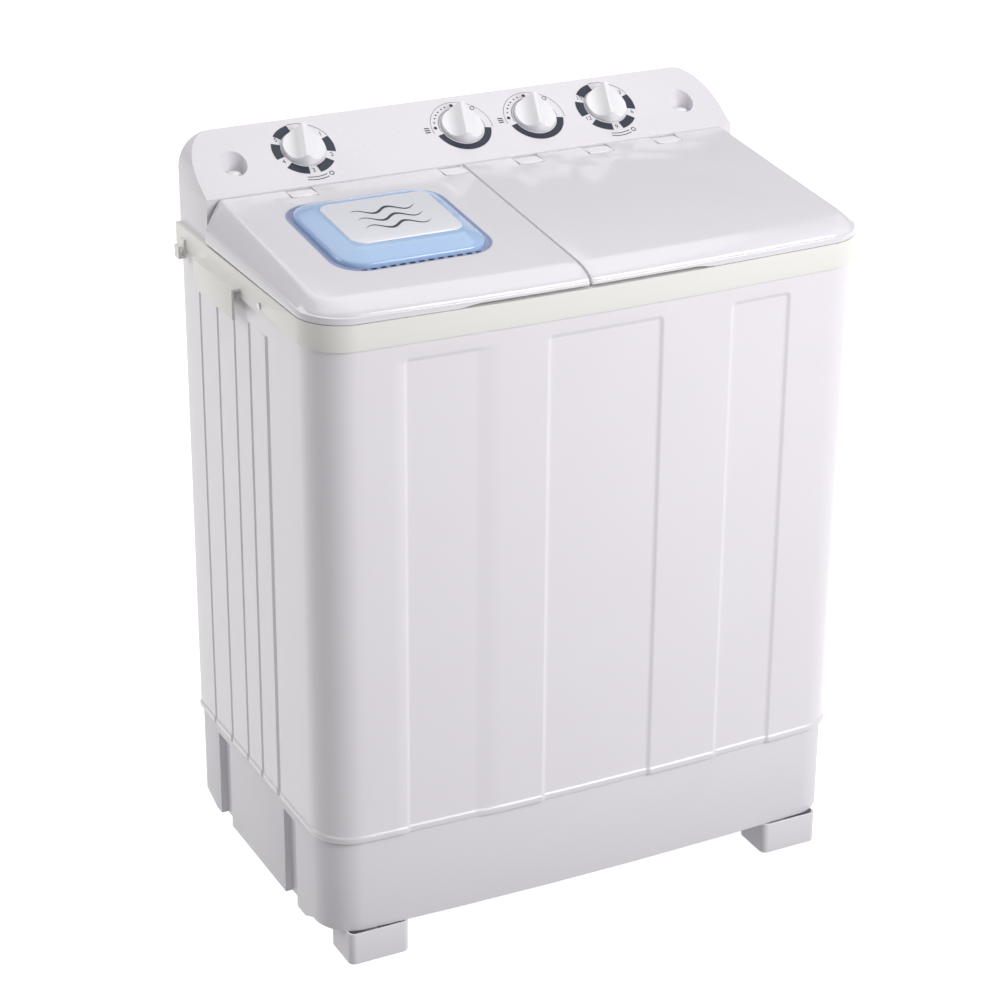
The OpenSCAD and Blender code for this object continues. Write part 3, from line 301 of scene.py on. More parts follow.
# ABS for the plaque: a cool white that stands out from the blue.
plaque_abs = finish_material("plaque_abs", "E3E4EB", "E6E7ED", 0.22, grain_mm=1.0,
                             grain_depth_mm=0.004, IOR=1.53)
# Plain grey polypropylene for parts behind the machine: dull, with a coarse grain.
grey_pp = finish_material("grey_polypropylene", "B9BBC0", "BFC1C6", 0.5, grain_mm=1.1, grain_depth_mm=0.02,
                          IOR=1.49)
# Nylon with glass fibre for the switches: mid grey and matt, as the fibres break up its shine.
nylon = finish_material("glass_filled_nylon", "787B80", "80838A", 0.55, cloud_mm=20, grain_mm=0.6,
                        grain_depth_mm=0.02, IOR=1.53)
# Screen printing ink: dark slate and nearly flat. Below it, near black painted as shade in gaps no lamp
# reaches.
ink = finish_material("screen_printed_ink", "2B3140", "303747", 0.48, grain_mm=0.4, grain_depth_mm=0.003,
                      cloud_mm=12, IOR=1.5)
painted_shade_dark = finish_material("painted_shade_plastic", "15181F", "1B1F28", 0.7, grain_mm=1.0, grain_depth_mm=0.01)

# %% Tub plastics, rubber and metals
# Polypropylene tubs are a little translucent: light that enters comes out again beside it.
tub_pp = finish_material("tub_polypropylene", "DCE6EC", "E2EBF0", 0.3, cloud_mm=120, grain_mm=1.4,
                         grain_depth_mm=0.012, IOR=1.49, Subsurface_Weight=0.15, Subsurface_Scale=0.01)
# The same plastic, coloured blue for the basket and almost clear for the inner safety cover.
basket_pp = finish_material("basket_polypropylene", "A9C8E2", "B1CEE6", 0.28, cloud_mm=80, grain_mm=1.2,
                            grain_depth_mm=0.012, IOR=1.49, Subsurface_Weight=0.12, Subsurface_Scale=0.008)
clear_pp = finish_material("translucent_cover", "C9DDEE", "D2E4F2", 0.22, cloud_mm=60, grain_mm=0.8,
                           grain_depth_mm=0.01, IOR=1.49, Transmission_Weight=0.35)
# Nitrile rubber: dark, with a dry bloom that scatters a little light.
rubber = finish_material("nitrile_rubber", "1E1E20", "2A2A2C", 0.62, rough_drift=0.1, cloud_mm=25, grain_mm=0.7,
                         grain_depth_mm=0.03, Sheen_Weight=0.25, Sheen_Roughness=0.5)
# Stoving enamel: the thick dark paint of a motor's shell, with a soft shine.
motor_enamel = finish_material("stoving_enamel", "33363B", "3B3E44", 0.38, cloud_mm=40, grain_mm=1.2,
                               grain_depth_mm=0.02, Coat_Weight=0.2)
# Zinc plate: bright grey with a spangled bloom; stainless steel: fine turned lines; cast aluminium: coarse.
zinc = finish_material("zinc_plated_steel", "A9ACAE", "C4C6C8", 0.3, rough_drift=0.1, cloud_mm=9, grain_mm=0.8,
                       grain_depth_mm=0.006, Metallic=1.0)
stainless = finish_material("ground_stainless_steel", "B8B9BB", "C9CACC", 0.2, rough_drift=0.06, cloud_mm=6,
                            grain_mm=0.35, grain_depth_mm=0.004, Metallic=1.0)
aluminium = finish_material("cast_aluminium", "9B9D9F", "AEB0B2", 0.45, rough_drift=0.1, cloud_mm=12,
                            grain_mm=1.0, grain_depth_mm=0.05, Metallic=1.0)
print("finishes made:", len(bpy.data.materials))

# %% [markdown]
# ## Finishes for the CAD nodes
# Most inner parts keep their CAD shape, because it is already the right one. They only get the finish of
# the real part.

# %% Give each CAD node its finish
FINISHES = {
    "body_white": enamel, "plinth_white": polypropylene, "band_cream": satin_abs, "lid_white": gloss_abs,
    "vent_blue": blue_abs, "plaque_white": plaque_abs, "console_white": console_abs, "knob_white": knob_abs,
    "back_grey": grey_pp, "zinc": zinc, "shaft_steel": stainless, "black_rubber": rubber,
    "switch_grey": nylon, "tub_white": tub_pp, "inner_blue": basket_pp, "ring_white": tub_pp,
    "cover_clear": clear_pp, "cast_alloy": aluminium, "motor_paint": motor_enamel, "plug_rubber": rubber,
}
for part in frame["record"]["subparts"]:
    for place in frame["nodes"][part["node"]].material_slots:
        place.material = FINISHES[part["material_slot"]]


# %% [markdown]
# ## Softened copies
# A moulding has no knife edges: the tool leaves a small radius, and that radius catches the light. Where
# the CAD shape is right apart from that, the piece is the CAD mesh welded, cleaned to flat faces and
# bevelled.


# %% Soften a CAD node
def soften(name, width, slot, body="machine"):
    mesh = frame["nodes"][name].data.copy()
    mesh.name = name + "_soft"
    work = bmesh.new()
    work.from_mesh(mesh)
    bmesh.ops.remove_doubles(work, verts=work.verts, dist=2e-6)
    bmesh.ops.dissolve_limit(work, angle_limit=math.radians(1.0), verts=work.verts, edges=work.edges)
    bmesh.ops.recalc_face_normals(work, faces=work.faces)
    work.to_mesh(mesh)
    work.free()
    piece = bpy.data.objects.new(name + "_soft", mesh)
    bpy.context.scene.collection.objects.link(piece)
    mesh.materials.clear()
    mesh.materials.append(FINISHES[slot])
    modify(piece, "BEVEL", sharp=35, width=width * MM, segments=3, limit_method="ANGLE",
           angle_limit=math.radians(30), use_clamp_overlap=True, harden_normals=False)
    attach(piece, body)
    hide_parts(name)
    return piece


plinth = soften("base", 1.6, "plinth_white")
for corner in ("front_left", "front_right", "rear_left", "rear_right"):
    soften("foot_" + corner, 1.4, "plinth_white")
band = soften("top_frame", 1.2, "band_cream")
print("plinth faces", len(plinth.data.polygons), "band faces", len(band.data.polygons))

# %% [markdown]
# ## The cabinet
# One sheet of enamelled steel goes round the front and the sides. Its front has three tall shallow
# panels pressed in, and each side has five upright grooves that stiffen it. Both are modelled as relief:
# each point of the sheet moves in by the depth that the press gives it there.


# %% Relief of the cabinet
def smooth(t):
    t = min(1.0, max(0.0, t))
    return t * t * (3 - 2 * t)


PANELS = [(-211, 53), (0, 79), (216, 44)]     # middle and half width of each panel
PANEL_TOP = BAND_Z - 19
PANEL_DEPTH = 2.4
PANEL_EDGE = 6.5        # width of the slope round each panel
PANEL_R = 8             # radius of a panel's top corners
GROOVE_DEPTH = 3.6
# Each groove's place, its top and its half width. They are set by their distances from the back.
GROOVES = [(BACK_Y - d, BAND_Z - 30 + 0.02 * d, w)
           for d, w in ((60, 3.2), (118, 3.2), (173, 3.2), (221, 3.6), (274, 5.2))]


def relief(x, y, z, inward):
    """How far the sheet is pressed in at a point, in millimetres."""
    if inward.y > 0.9:
        for middle, half in PANELS:
            side, top = half - abs(x - middle), PANEL_TOP - z
            r = PANEL_R
            d = min(side, top) if side > r or top > r else r - math.hypot(r - side, r - top)
            if d > 0:
                return PANEL_DEPTH * smooth(d / PANEL_EDGE)
    if abs(inward.x) > 0.9:
        for middle, top, half in GROOVES:
            across = 1 - abs(y - middle) / half
            if across > 0 and z < top:
                return GROOVE_DEPTH * smooth(across * 1.4) * smooth((top - z) / 5)
    return 0


# %% Build the cabinet
# The opening in the back, which the rear cover closes, and the rows and columns that the relief needs.
REAR_X = HALF_W - 40
REAR_Z = (CABINET_Z + 20, DECK_Z - 370)
edge_xs = [m + s * (h - e) for m, h in PANELS for s in (-1, 1) for e in (-1, 0, 1, 2, 3, 4, 5, 6.5, 9)]
groove_ys = [g + w * k / 4 for g, _, w in GROOVES for k in range(-4, 5)]
outline = full_outline(edge_xs, groove_ys, (REAR_X,))
heights = spread(CABINET_Z, BAND_Z, 40, [CABINET_Z + k for k in (1, 2, 8, 9, 10)] + [*REAR_Z]
                 + [PANEL_TOP - k for k in (0, 1, 2, 3, 4, 5, 6.5, 8, 10)]
                 + [top - k for _, top, _ in GROOVES for k in (0, 1.5, 3, 5)])
rows = []
for z in heights:
    # the rolled rim along the bottom edge stands a little proud
    rim = 1.5 * smooth((z - CABINET_Z - 8) / 2) + 1.2 * (1 - smooth((z - CABINET_Z) / 2))
    rows.append([(*(p + n * (rim - 1.2 + relief(p.x, p.y, z, n))), z) for p, n in outline])
points, faces = loft(rows)
faces = [f for f in faces if not (all(points[i][1] > BACK_Y - 1 and abs(points[i][0]) < REAR_X + 0.1 for i in f)
                                  and all(REAR_Z[0] - 0.1 < points[i][2] < REAR_Z[1] + 0.1 for i in f))]
cabinet = new_piece("cabinet_shell", (points, faces), enamel, "machine", ["cabinet"])
modify(cabinet, "SOLIDIFY", thickness=1.2 * MM, offset=-1)
print("cabinet faces", len(cabinet.data.polygons))

# %% [markdown]
# ## The lids
# Both lids are polished mouldings: a flat top that falls to the front, a rolled front edge, a flat facet
# down the outer side, and a thin ledge where the skirt starts. The edge is lofted along the outline from
# the skirt up to the top, and one flat face closes the top, cut back where the hinges sit.

# %% Heights of the lids
LIP_LOW, LIP_HIGH = DECK_Z + 8.5, DECK_Z + 20
SKIRT_LOW, SKIRT_HIGH = DECK_Z + 0.6, DECK_Z + 2.4
LID_FRONT = FRONT_Y - LID_OUT
HINGE_Y = LID_BACK - 15
HINGE_Z = LID_HIGH - 8
# Middles of the hinges: three from the split on the wash lid, one near each end on the spin lid.
HINGE_XS = {1: [SPLIT + 86 + 101 * i for i in range(3)], -1: [-HALF_W + 120, SPLIT - 18]}
# The facet goes through pairs of (share of the way in, share of the way up) on the outer side's shoulder.
FACET = [(0, 0), (0.05, 0.10), (0.13, 0.22), (0.27, 0.40), (0.44, 0.60), (0.59, 0.765), (0.71, 0.875),
         (0.81, 0.945), (0.90, 0.985), (1, 1)]


def along(y, low, high):
    return low + (high - low) * (y - LID_FRONT) / (LID_BACK - LID_FRONT)


def lid_top(y):
    return LID_HIGH - (LID_BACK - y) * math.tan(LID_SLOPE)


def rolled(t, side):
    """Share of the way in and up at step t of the shoulder: an ellipse in front, a facet at the side."""
    k = t * (len(FACET) - 1)
    i = min(int(k), len(FACET) - 2)
    facet = Vector(FACET[i]).lerp(Vector(FACET[i + 1]), k - i)
    front = Vector((1 - math.cos(math.pi * t / 2), math.sin(math.pi * t / 2)))
    return front.lerp(facet, side)


# %% Build one lid
def lid_shape(side):
    """Points and faces of a lid. side is 1 for the wash lid and -1 for the spin lid."""
    x_split = SPLIT * side + 1.5
    stations = half_outline(x_split, LID_BACK, spread(160 - side * 30, 200 - side * 30, 5))
    rows = [[] for _ in range(16)]
    for p, n in stations:
        p = p - n * LID_OUT
        lip = along(p.y, LIP_LOW, LIP_HIGH)
        recess = 3.2 * smooth((170 - abs(p.x * side - SPLIT)) / 26) if n.y > 0.9 else 0
        skirt = along(p.y, SKIRT_LOW, SKIRT_HIGH) + recess
        flat = smooth(abs(n.x) * 1.2 - 0.1)
        reach = 38 + (24 - 38) * flat
        steps = [(0.6, skirt), (0, skirt + 0.6), (0, lip - 1.4), (0.4, lip - 0.5), (1.3, lip), (2.3, lip + 0.1)]
        for k in range(1, 11):
            move = rolled(k / 10, flat)
            d = 2.3 + (reach - 2.3) * move.x
            y = (p + n * d).y
            steps.append((d, lip + 0.1 + (lid_top(y) - lip - 0.1) * move.y))
        for row, (d, z) in zip(rows, steps):
            q = p + n * d
            row.append((max(q.x, x_split) if p.x < x_split + 0.01 else q.x, q.y, z))
    points, faces = loft(rows, closed=False)
    last = (len(rows) - 1) * len(stations)
    top = [last + i for i in range(len(stations))]
    # the back edge runs from the split to the outer side, round each hinge
    back = [(x_split, LID_BACK, LID_HIGH)]
    for x in sorted(h * side for h in HINGE_XS[side]):
        near, far = max(x - 18, x_split + 2.5), x + 18
        back += [(near, LID_BACK, LID_HIGH), (near, HINGE_Y - 8.5, lid_top(HINGE_Y - 8.5)),
                 (far, HINGE_Y - 8.5, lid_top(HINGE_Y - 8.5)), (far, LID_BACK, LID_HIGH)]
    first = len(points)
    points += back
    back_ids = list(range(first, first + len(back)))
    faces.append(top + back_ids)
    # wall along the split
    split_curve = [r * len(stations) + len(stations) - 1 for r in range(len(rows))]
    points.append((x_split, LID_BACK, SKIRT_HIGH))
    faces.append(split_curve + [back_ids[0], len(points) - 1])
    # low wall along the back
    edge = back_ids + [top[0]]
    low = len(points)
    points += [(points[i][0], points[i][1], LID_HIGH - 15) for i in edge]
    faces += [[edge[i], edge[i + 1], low + i + 1, low + i] for i in range(len(edge) - 1)]
    return [(x * side, y, z) for x, y, z in points], faces


def make_lid(name, side, body, replaced):
    lid = new_piece(name, lid_shape(side), gloss_abs, body, replaced)
    up = max(lid.data.polygons, key=lambda f: f.area)
    if up.normal.z < 0:
        lid.data.flip_normals()
    modify(lid, "BEVEL", width=1.1 * MM, segments=3, limit_method="ANGLE", angle_limit=math.radians(50))
    modify(lid, "SOLIDIFY", thickness=2.4 * MM, offset=-1)
    return lid


wash_lid = make_lid("wash_lid_shell", 1, "wash_lid", ["wash_lid"])
spin_lid = make_lid("spin_lid_shell", -1, "spin_lid", ["spin_lid"])
print("lid faces", len(wash_lid.data.polygons), len(spin_lid.data.polygons))


# %% [markdown]
# ## Hinge tabs
# Between its two ears each lid has a knuckle on the hinge pin. From outside only a small tab shows, a
# little lower than the top of the lid.


# %% Tabs that join the lids to their pins
def block(low, high):
    corners = [(x, y, z) for z in (low[2], high[2]) for x, y in
               ((low[0], low[1]), (high[0], low[1]), (high[0], high[1]), (low[0], high[1]))]
    return loft([corners[:4], corners[4:]], first_cap=True, last_cap=True)


for side, body, slot_name in ((1, "wash_lid", "wash"), (-1, "spin_lid", "spin")):
    tabs = [block((x - 9.8, HINGE_Y - 8.3, LID_HIGH - 13), (x + 9.8, HINGE_Y + 4.5, HINGE_Z + 5.2))
            for x in HINGE_XS[side]]
    tabs += [block((x - (16.8 if x - 16.8 > SPLIT or side < 0 else 14), HINGE_Y - 7.9, HINGE_Z + 5.1),
                   (min(x + 16.8, SPLIT - 3) if side < 0 else x + 16.8, LID_BACK - 0.8, HINGE_Z + 6.4))
             for x in HINGE_XS[side]]
    tab = new_piece(slot_name + "_lid_tabs", join(*tabs), tab_abs, body)
    modify(tab, "BEVEL", width=0.5 * MM, segments=3, limit_method="ANGLE", angle_limit=math.radians(30))
print("hinges on each lid:", [len(places) for places in HINGE_XS.values()])

# %% [markdown]
# ## The drying vent
# The spin lid has an air inlet: a blue tray let into the lid, painted darker as the shade in the gap round the
# cap, a pale blue cap over it that leaves a gap all round for the air, and a white plaque on the cap. All of
# them follow the slope of the lid, so they are lofted from rounded rectangles in a plane that lies on it.

# %% Rounded rectangles on a tilted plane
LID_UP = Vector((0, -math.sin(LID_SLOPE), math.cos(LID_SLOPE)))
VENT = Vector((-196, -38, lid_top(-38)))


def on_lid(u, v, w):
    """A point on the lid at the vent: u to the right, v up the slope, w out of the surface."""
    return VENT + Vector((u, 0, 0)) + Vector((0, LID_UP.z, -LID_UP.y)) * v + LID_UP * w


def rounded_row(width, depth, radius, lift, steps=10):
    row = []
    for corner in range(4):
        sx, sy = ((1, 1), (-1, 1), (-1, -1), (1, -1))[corner]
        for i in range(steps + 1):
            a = math.radians(90 * corner + 90 * i / steps)
            row.append(on_lid(sx * (width / 2 - radius) + radius * math.cos(a),
                              sy * (depth / 2 - radius) + radius * math.sin(a), lift))
    return row


def stepped(width, depth, radius, steps):
    """Rows of rounded rectangles from pairs of (inset, lift)."""
    return [rounded_row(width - 2 * i, depth - 2 * i, max(radius - i * 0.8, 8), lift) for i, lift in steps]


def shifted(shape, u, v):
    """A shape moved in the plane of the lid."""
    move = on_lid(u, v, 0) - VENT
    return [p + move for p in shape[0]], shape[1]


# %% Cut the vent's opening out of the lid and set the parts in
def cut(piece, shape):
    cutter = new_piece("cutter", shape, painted_shade_dark, "machine")
    modify(piece, "BOOLEAN", object=cutter, operation="DIFFERENCE", solver="EXACT")
    bpy.data.objects.remove(cutter)


cut(spin_lid, loft(stepped(207, 199, 40, [(0, -20), (0, 8)]), first_cap=True, last_cap=True))
tray_steps = [(-0.6, 0.2), (0.4, 0.3), (1.2, 0), (2, -0.9), (3, -1.2), (16, -1.4)]
# the tray's darker, greyer blue is painted shade for the recess round the cap
new_piece("vent_tray", loft(stepped(208, 200, 40, tray_steps), last_cap=True), painted_shade_blue_abs, "spin_lid",
          outward=False)
cap_steps = [(3, -3.9), (0.4, -2.4), (0, -1), (0, 2.5), (0.5, 4), (1.8, 5.2), (6, 6.8), (11, 8.6), (16, 10.4),
             (20, 11.8), (23, 12.6), (25, 12.9)]
cap = new_piece("vent_cap_shell", loft(stepped(191, 183, 33, cap_steps), last_cap=True), blue_abs, "spin_lid",
                ["vent_cap"])
plaque_steps = [(-0.3, 12), (0, 13.4), (0.5, 14.1), (1.5, 14.3)]
PLAQUE_U, PLAQUE_V = 4, 3      # middle of the plaque from the middle of the cap
plaque_shape = shifted(loft(stepped(144, 117, 16, plaque_steps), last_cap=True), PLAQUE_U, PLAQUE_V)
new_piece("vent_plaque_shell", plaque_shape, plaque_abs, "spin_lid", ["vent_plaque"])
waves = []      # three waves of air, thick in the middle and thin at both ends
for row in range(3):
    line = [(-42 + 2.5 * i, -22 + 22 * row + 6.5 * math.sin(i * 0.37 + row * 0.3),
             2.7 * math.sin(math.pi * (i + 0.6) / 35.2)) for i in range(35)]
    waves.append(loft([[on_lid(PLAQUE_U + u, PLAQUE_V + v + side * half, 14.45) for u, v, half in line]
                       for side in (-1, 1)], closed=False))
new_piece("airflow_mark", join(*waves), ink, "spin_lid", outward=False)
# near-black boxes at the tray's front edge: painted shade for the dark inside of the air slots
slots = []
for i in range(13):
    u = -74 + 12.3 * i
    slots.append(loft([[on_lid(u + x, -97 + y, w) for x, y in ((-3.4, 0), (3.4, 0), (3.4, 4), (-3.4, 4))]
                       for w in (-4, -0.9)], last_cap=True))
new_piece("vent_slot_shade", join(*slots), painted_shade_dark, "spin_lid")
print("vent cap faces", len(cap.data.polygons))

# %% [markdown]
# ## The console
# A tall moulding behind the lids, cut off at 32 degrees so the dials face the user. It is one outline in
# front view, with large round top corners, run back to the rear of the machine. The bevel rolls its edges
# as the tool would, and two screw wells are scooped out of its ends.

# %% Build the console
console_low, console_high = span("console_cover")
CONSOLE_Y = console_low.y
LIP_Z = DECK_Z + 55
FACE_SLOPE = math.radians(32)
CONSOLE_X = console_high.x
CONSOLE_DEPTH = 93
SCREW_SHARE, DIAL_SHARE = 0.45, 0.535       # how far back the screws and the dials sit in that depth
WELL_X = HALF_W - 54


def face_z(y):
    return LIP_Z + (y - CONSOLE_Y) * math.tan(FACE_SLOPE)


def console_rows():
    top, r = face_z(console_high.y), 42
    side = [(CONSOLE_X, z) for z in spread(DECK_Z + 0.2, top - r, 20, (LIP_Z,))]
    arc = [(CONSOLE_X - r + r * math.cos(math.radians(a)), top - r + r * math.sin(math.radians(a)))
           for a in range(5, 91, 5)]
    half = side + arc
    rim = half + [(-x, z) for x, z in reversed(half)]
    front = [(x, CONSOLE_Y + max(0, (z - LIP_Z) / math.tan(FACE_SLOPE)), z) for x, z in rim]
    rear = [(x, console_high.y, z) for x, z in rim]
    return rear, front


rear_row, front_row = console_rows()
points, faces = loft([rear_row, front_row], closed=False)
n = len(rear_row)
crease = [i for i, p in enumerate(front_row) if abs(p[2] - LIP_Z) < 0.01]
faces.append([n + i for i in range(crease[0], crease[1] + 1)])
faces.append([n + i for i in range(crease[0] + 1)] + [n + i for i in range(crease[1], n)])
faces.append(list(range(n)))
faces.append([0, n, 2 * n - 1, n - 1])
console = new_piece("console_shell", (points, faces), console_abs, "machine",
                    ["console_cover"])
modify(console, "BEVEL", width=6 * MM, segments=5, limit_method="ANGLE", angle_limit=math.radians(24))
SCREW_Y = CONSOLE_Y + CONSOLE_DEPTH * SCREW_SHARE
WELL_Z = face_z(SCREW_Y) - 22


def turned_rows(s, step, profile):
    """Rows of a round shape that stands in the well on side s, from pairs of (radius, height)."""
    return [[(s * WELL_X + r * math.cos(math.radians(a)), SCREW_Y + r * math.sin(math.radians(a)), WELL_Z + h)
             for a in range(0, 360, step)] for r, h in profile]


CUP = ((5, 0), (9, 0.4), (12, 1.6), (14, 4), (15.5, 9), (17, 18), (21, 50))
PLUG = ((9.4, 0.2), (9.6, 7), (9.2, 9.6), (7.6, 11.4), (5, 12.4), (2, 12.8))
for s in (-1, 1):
    cut(console, loft(turned_rows(s, 8, CUP), first_cap=True, last_cap=True))
plugs = [loft(turned_rows(s, 10, PLUG), last_cap=True) for s in (-1, 1)]
new_piece("console_screw_caps", join(*plugs), knob_abs, "machine", ["console_screws"])
print("console faces", len(console.data.polygons))

# %% [markdown]
# ## Printing on the dials
# The marks round a dial are screen printed: flat ink a tenth of a millimetre thick on the sloping face.
# Angles run clockwise from the top of the dial, as on a clock. Both timers carry numbers for minutes, and
# the two selectors carry an arc and dots instead of words.

# %% Ink on the face
FACE_OUT = Vector((0, -math.sin(FACE_SLOPE), math.cos(FACE_SLOPE)))
FACE_UP = Vector((0, math.cos(FACE_SLOPE), math.sin(FACE_SLOPE)))
DIAL_Y = CONSOLE_Y + CONSOLE_DEPTH * DIAL_SHARE
# Middles of the dials: the spin timer's is measured from the left side, the others from the right.
DIALS = {"spin_timer_knob": -HALF_W + 150.5, "drain_knob": HALF_W - 370.5, "wash_knob": HALF_W - 266.5,
         "wash_timer_knob": HALF_W - 162.5}


def on_face(dial, angle, radius, lift=0.15):
    a = math.radians(angle)
    return (Vector((DIALS[dial], DIAL_Y, face_z(DIAL_Y))) + FACE_OUT * lift
            + (Vector((1, 0, 0)) * math.sin(a) + FACE_UP * math.cos(a)) * radius)


def arc_ink(dial, start, stop, inner, outer):
    """A printed piece of ring, clockwise from start to stop."""
    count = max(2, round(abs(stop - start) / 4))
    angles = [start + (stop - start) * i / count for i in range(count + 1)]
    return loft([[on_face(dial, a, radius) for a in angles] for radius in (inner, outer)], closed=False)


def dot_ink(dial, angle, radius, size, hole=0.0):
    centre = on_face(dial, angle, radius)
    ring = [math.radians(15 * i) for i in range(24)]
    rows = [[centre + (Vector((1, 0, 0)) * math.cos(a) + FACE_UP * math.sin(a)) * r for a in ring]
            for r in ((hole, size) if hole else (size,))]
    return loft(rows, last_cap=not hole)


def number_ink(dial, text, angle, radius, size):
    """A number, turned into flat faces. The font is Blender's own."""
    curve = bpy.data.curves.new("number", "FONT")
    curve.body, curve.size, curve.align_x, curve.align_y = text, size, "CENTER", "CENTER"
    carrier = bpy.data.objects.new("number", curve)
    mesh = bpy.data.meshes.new_from_object(carrier)
    centre = on_face(dial, angle, radius)
    points = [centre + Vector((1, 0, 0)) * v.co.x + FACE_UP * v.co.y for v in mesh.vertices]
    faces = [list(f.vertices) for f in mesh.polygons]
    bpy.data.objects.remove(carrier)
    return points, faces


marks = []
for dial, numbers in (("spin_timer_knob", "12345"), ("wash_timer_knob", ("3", "6", "9", "12", "15"))):
    # five segments of a ring, with a number in each gap and a thin arc over the widest gap
    for start, stop in ((309, 348), (253, 291), (188, 230), (129, 168), (68, 106)):
        marks.append(arc_ink(dial, start, stop, 29.6, 41.2))
    marks.append(arc_ink(dial, 350, 426, 41.2, 41.9))
    for text, angle in zip(numbers, (57, 115, 179, 243, 303)):
        marks.append(number_ink(dial, text, angle, 36, 9))
    # below the dial, two short arcs and a small ring
    marks.append(arc_ink(dial, 161, 194, 46.2, 47.4))
    marks.append(arc_ink(dial, 161, 194, 50.6, 51.8))
    marks.append(dot_ink(dial, 154, 49, 3.4, 2.2))
for dial in ("drain_knob", "wash_knob"):
    # a wide band below, two thin arcs over the top, dots up the left, a ring and three ticks
    marks.append(arc_ink(dial, 102, 255, 29.6, 38.8))
    marks += [arc_ink(dial, -98, 100, 41.2, 41.7), arc_ink(dial, -98, 100, 30.6, 31.1)]
    for angle, size in ((275, 2.4), (289, 1.2), (301, 1.2), (311, 1.2), (321, 1.2), (333, 1.2), (343, 1.2),
                        (359, 2.4)):
        marks.append(dot_ink(dial, angle, 36.3, size))
    marks.append(dot_ink(dial, 43, 37.5, 3.2, 2.2))
    marks += [arc_ink(dial, 266 + 4 * k, 268 + 4 * k, 45, 52) for k in range(3)]
printing = new_piece("dial_printing", join(*marks), ink, "machine", outward=False)
print("printed faces", len(printing.data.polygons))

# %% [markdown]
# ## The knobs
# Each knob is a round disc with a grip bar across it. The hollows on both sides of the bar are what the
# finger and thumb hold. The shape is a height over each point of the disc, highest on the bar's narrow top.


# %% Build the knobs
def knob_height(t):
    away = max(0.0, abs(t) - 2.6)
    return 5.2 + 12.8 * max(0.0, 1 - away / 17) ** 1.9


def knob_shape(dial):
    radius, lean = 27, math.radians(14)
    ts = [0, 1.4, 2.4, 2.9, 3.5, 4.5, 6, 8, 10.5, 13, 16, 19, 21.5, 23.5, 25.2, 26.3, 26.9]
    ts = [-t for t in reversed(ts[1:])] + ts
    w = 15      # points in each row
    rows = []
    for t in ts:
        reach = math.sqrt(radius ** 2 - t ** 2)
        rows.append([(reach * (2 * i / (w - 1) - 1), t, knob_height(t)) for i in range(w)])
    points, faces = loft(rows, closed=False)
    rim = list(range(w)) + [r * w + w - 1 for r in range(1, len(rows))]
    rim += [(len(rows) - 1) * w + i for i in range(w - 2, -1, -1)]
    rim += [r * w for r in range(len(rows) - 2, 0, -1)]
    # the wall round the disc widens a little down to the console
    low = len(points)
    points += [(points[i][0] * 1.02, points[i][1] * 1.02, 1.0) for i in rim]
    faces += [[rim[i], rim[(i + 1) % len(rim)], low + (i + 1) % len(rim), low + i] for i in range(len(rim))]
    made = []
    for s, t, h in points:
        x, y = s * math.sin(lean) + t * math.cos(lean), s * math.cos(lean) - t * math.sin(lean)
        made.append(on_face(dial, 0, 0, 0) + Vector((1, 0, 0)) * x + FACE_UP * y + FACE_OUT * h)
    return made, faces


for dial in DIALS:
    knob = new_piece(dial + "_shell", knob_shape(dial), knob_abs, dial, [dial], sharp=50)
    modify(knob, "BEVEL", sharp=60, width=0.8 * MM, segments=3, limit_method="ANGLE",
           angle_limit=math.radians(50))
print("knob faces", len(knob.data.polygons))

# %% [markdown]
# ## Camera, lamps and floor
# A long lens from the front left, looking down. The lamps are large and soft: one to the right of the
# camera, one far to the left, and one overhead that keeps the floor pale.

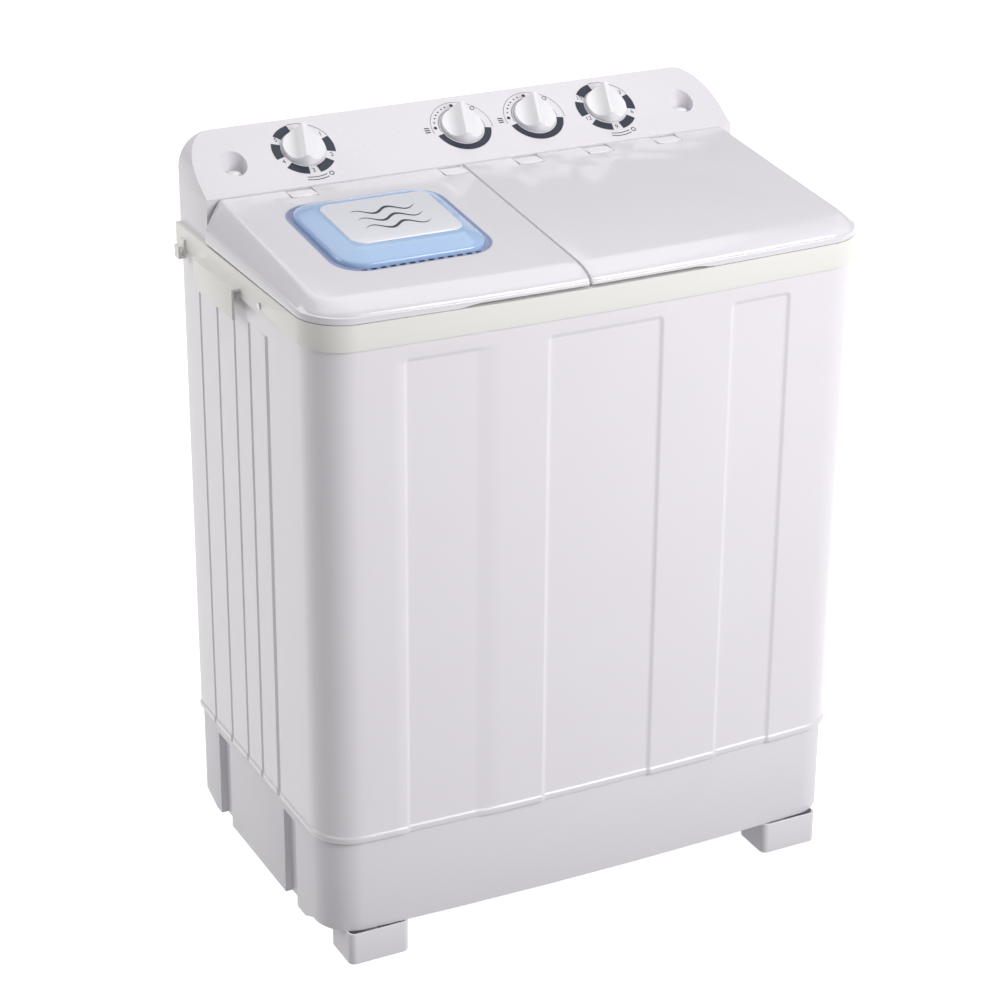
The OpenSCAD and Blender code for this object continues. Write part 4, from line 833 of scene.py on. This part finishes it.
# %% Camera
AZIMUTH, PITCH, ROLL = math.radians(-27.04), math.radians(24.29), math.radians(0.41)
DISTANCE = 3.643        # from the target to the camera, in metres
target = Vector((-30.6, -12, 493.8)) * MM
back = Vector((math.sin(AZIMUTH) * math.cos(PITCH), -math.cos(AZIMUTH) * math.cos(PITCH), math.sin(PITCH)))
right = Vector((math.cos(AZIMUTH), math.sin(AZIMUTH), 0))
up = back.cross(right)
turned = (right * math.cos(ROLL) + up * math.sin(ROLL), up * math.cos(ROLL) - right * math.sin(ROLL), back)
camera = bpy.data.objects.new("camera", bpy.data.cameras.new("camera"))
bpy.context.scene.collection.objects.link(camera)
camera.data.lens = 102.25
camera.data.sensor_width = 36
place = Matrix(turned).transposed().to_4x4()
place.translation = target + back * DISTANCE
camera.matrix_world = place
bpy.context.scene.camera = camera
bpy.context.scene.view_settings.view_transform = "Standard"
print("camera lens", camera.data.lens, "mm")


# %% Lamps
def soft_lamp(name, azimuth, height, distance, size, watts):
    """A large lamp aimed at the washer. azimuth is in degrees, from the front to the right, and all
    lengths are in metres."""
    lamp = bpy.data.objects.new(name, bpy.data.lights.new(name, "AREA"))
    bpy.context.scene.collection.objects.link(lamp)
    lamp.data.shape = "RECTANGLE"
    lamp.data.size, lamp.data.size_y = size
    lamp.data.energy = watts
    a = math.radians(azimuth)
    lamp.location = (math.sin(a) * distance, -math.cos(a) * distance, height)
    lamp.rotation_euler = (Vector((0, 0, 0.55)) - lamp.location).to_track_quat("-Z", "Y").to_euler()


soft_lamp("key", 30, 2.1, 3.2, (1.8, 1.8), 86)
soft_lamp("left_fill", -122, 1.8, 3.0, (1.6, 2.0), 30)
soft_lamp("overhead", 170, 3.4, 1.0, (3.2, 3.2), 36)
world = bpy.data.worlds.new("studio")
bpy.context.scene.world = world
world.use_nodes = True
world.node_tree.nodes["Background"].inputs["Color"].default_value = (1, 1, 1, 1)
world.node_tree.nodes["Background"].inputs["Strength"].default_value = 0.3
print("lamps", len(bpy.data.lights))

# %% Floor
floor_finish, floor_tree, floor_surface, _ = start_material("pale_floor", Roughness=0.6)
floor_surface.inputs["Base Color"].default_value = (0.95, 0.95, 0.94, 1)
floor_surface.inputs["Emission Color"].default_value = (1, 1, 0.985, 1)
floor_surface.inputs["Emission Strength"].default_value = 0.8
floor_mesh = bpy.data.meshes.new("floor")
floor_mesh.from_pydata([(-30, -30, 0), (30, -30, 0), (30, 30, 0), (-30, 30, 0)], [], [(0, 1, 2, 3)])
floor_mesh.materials.append(floor_finish)
floor = bpy.data.objects.new("floor", floor_mesh)
bpy.context.scene.collection.objects.link(floor)
# the bright floor is seen, but doesn't light the washer from below, so its own shading stays
floor.visible_diffuse = False
print("floor made")
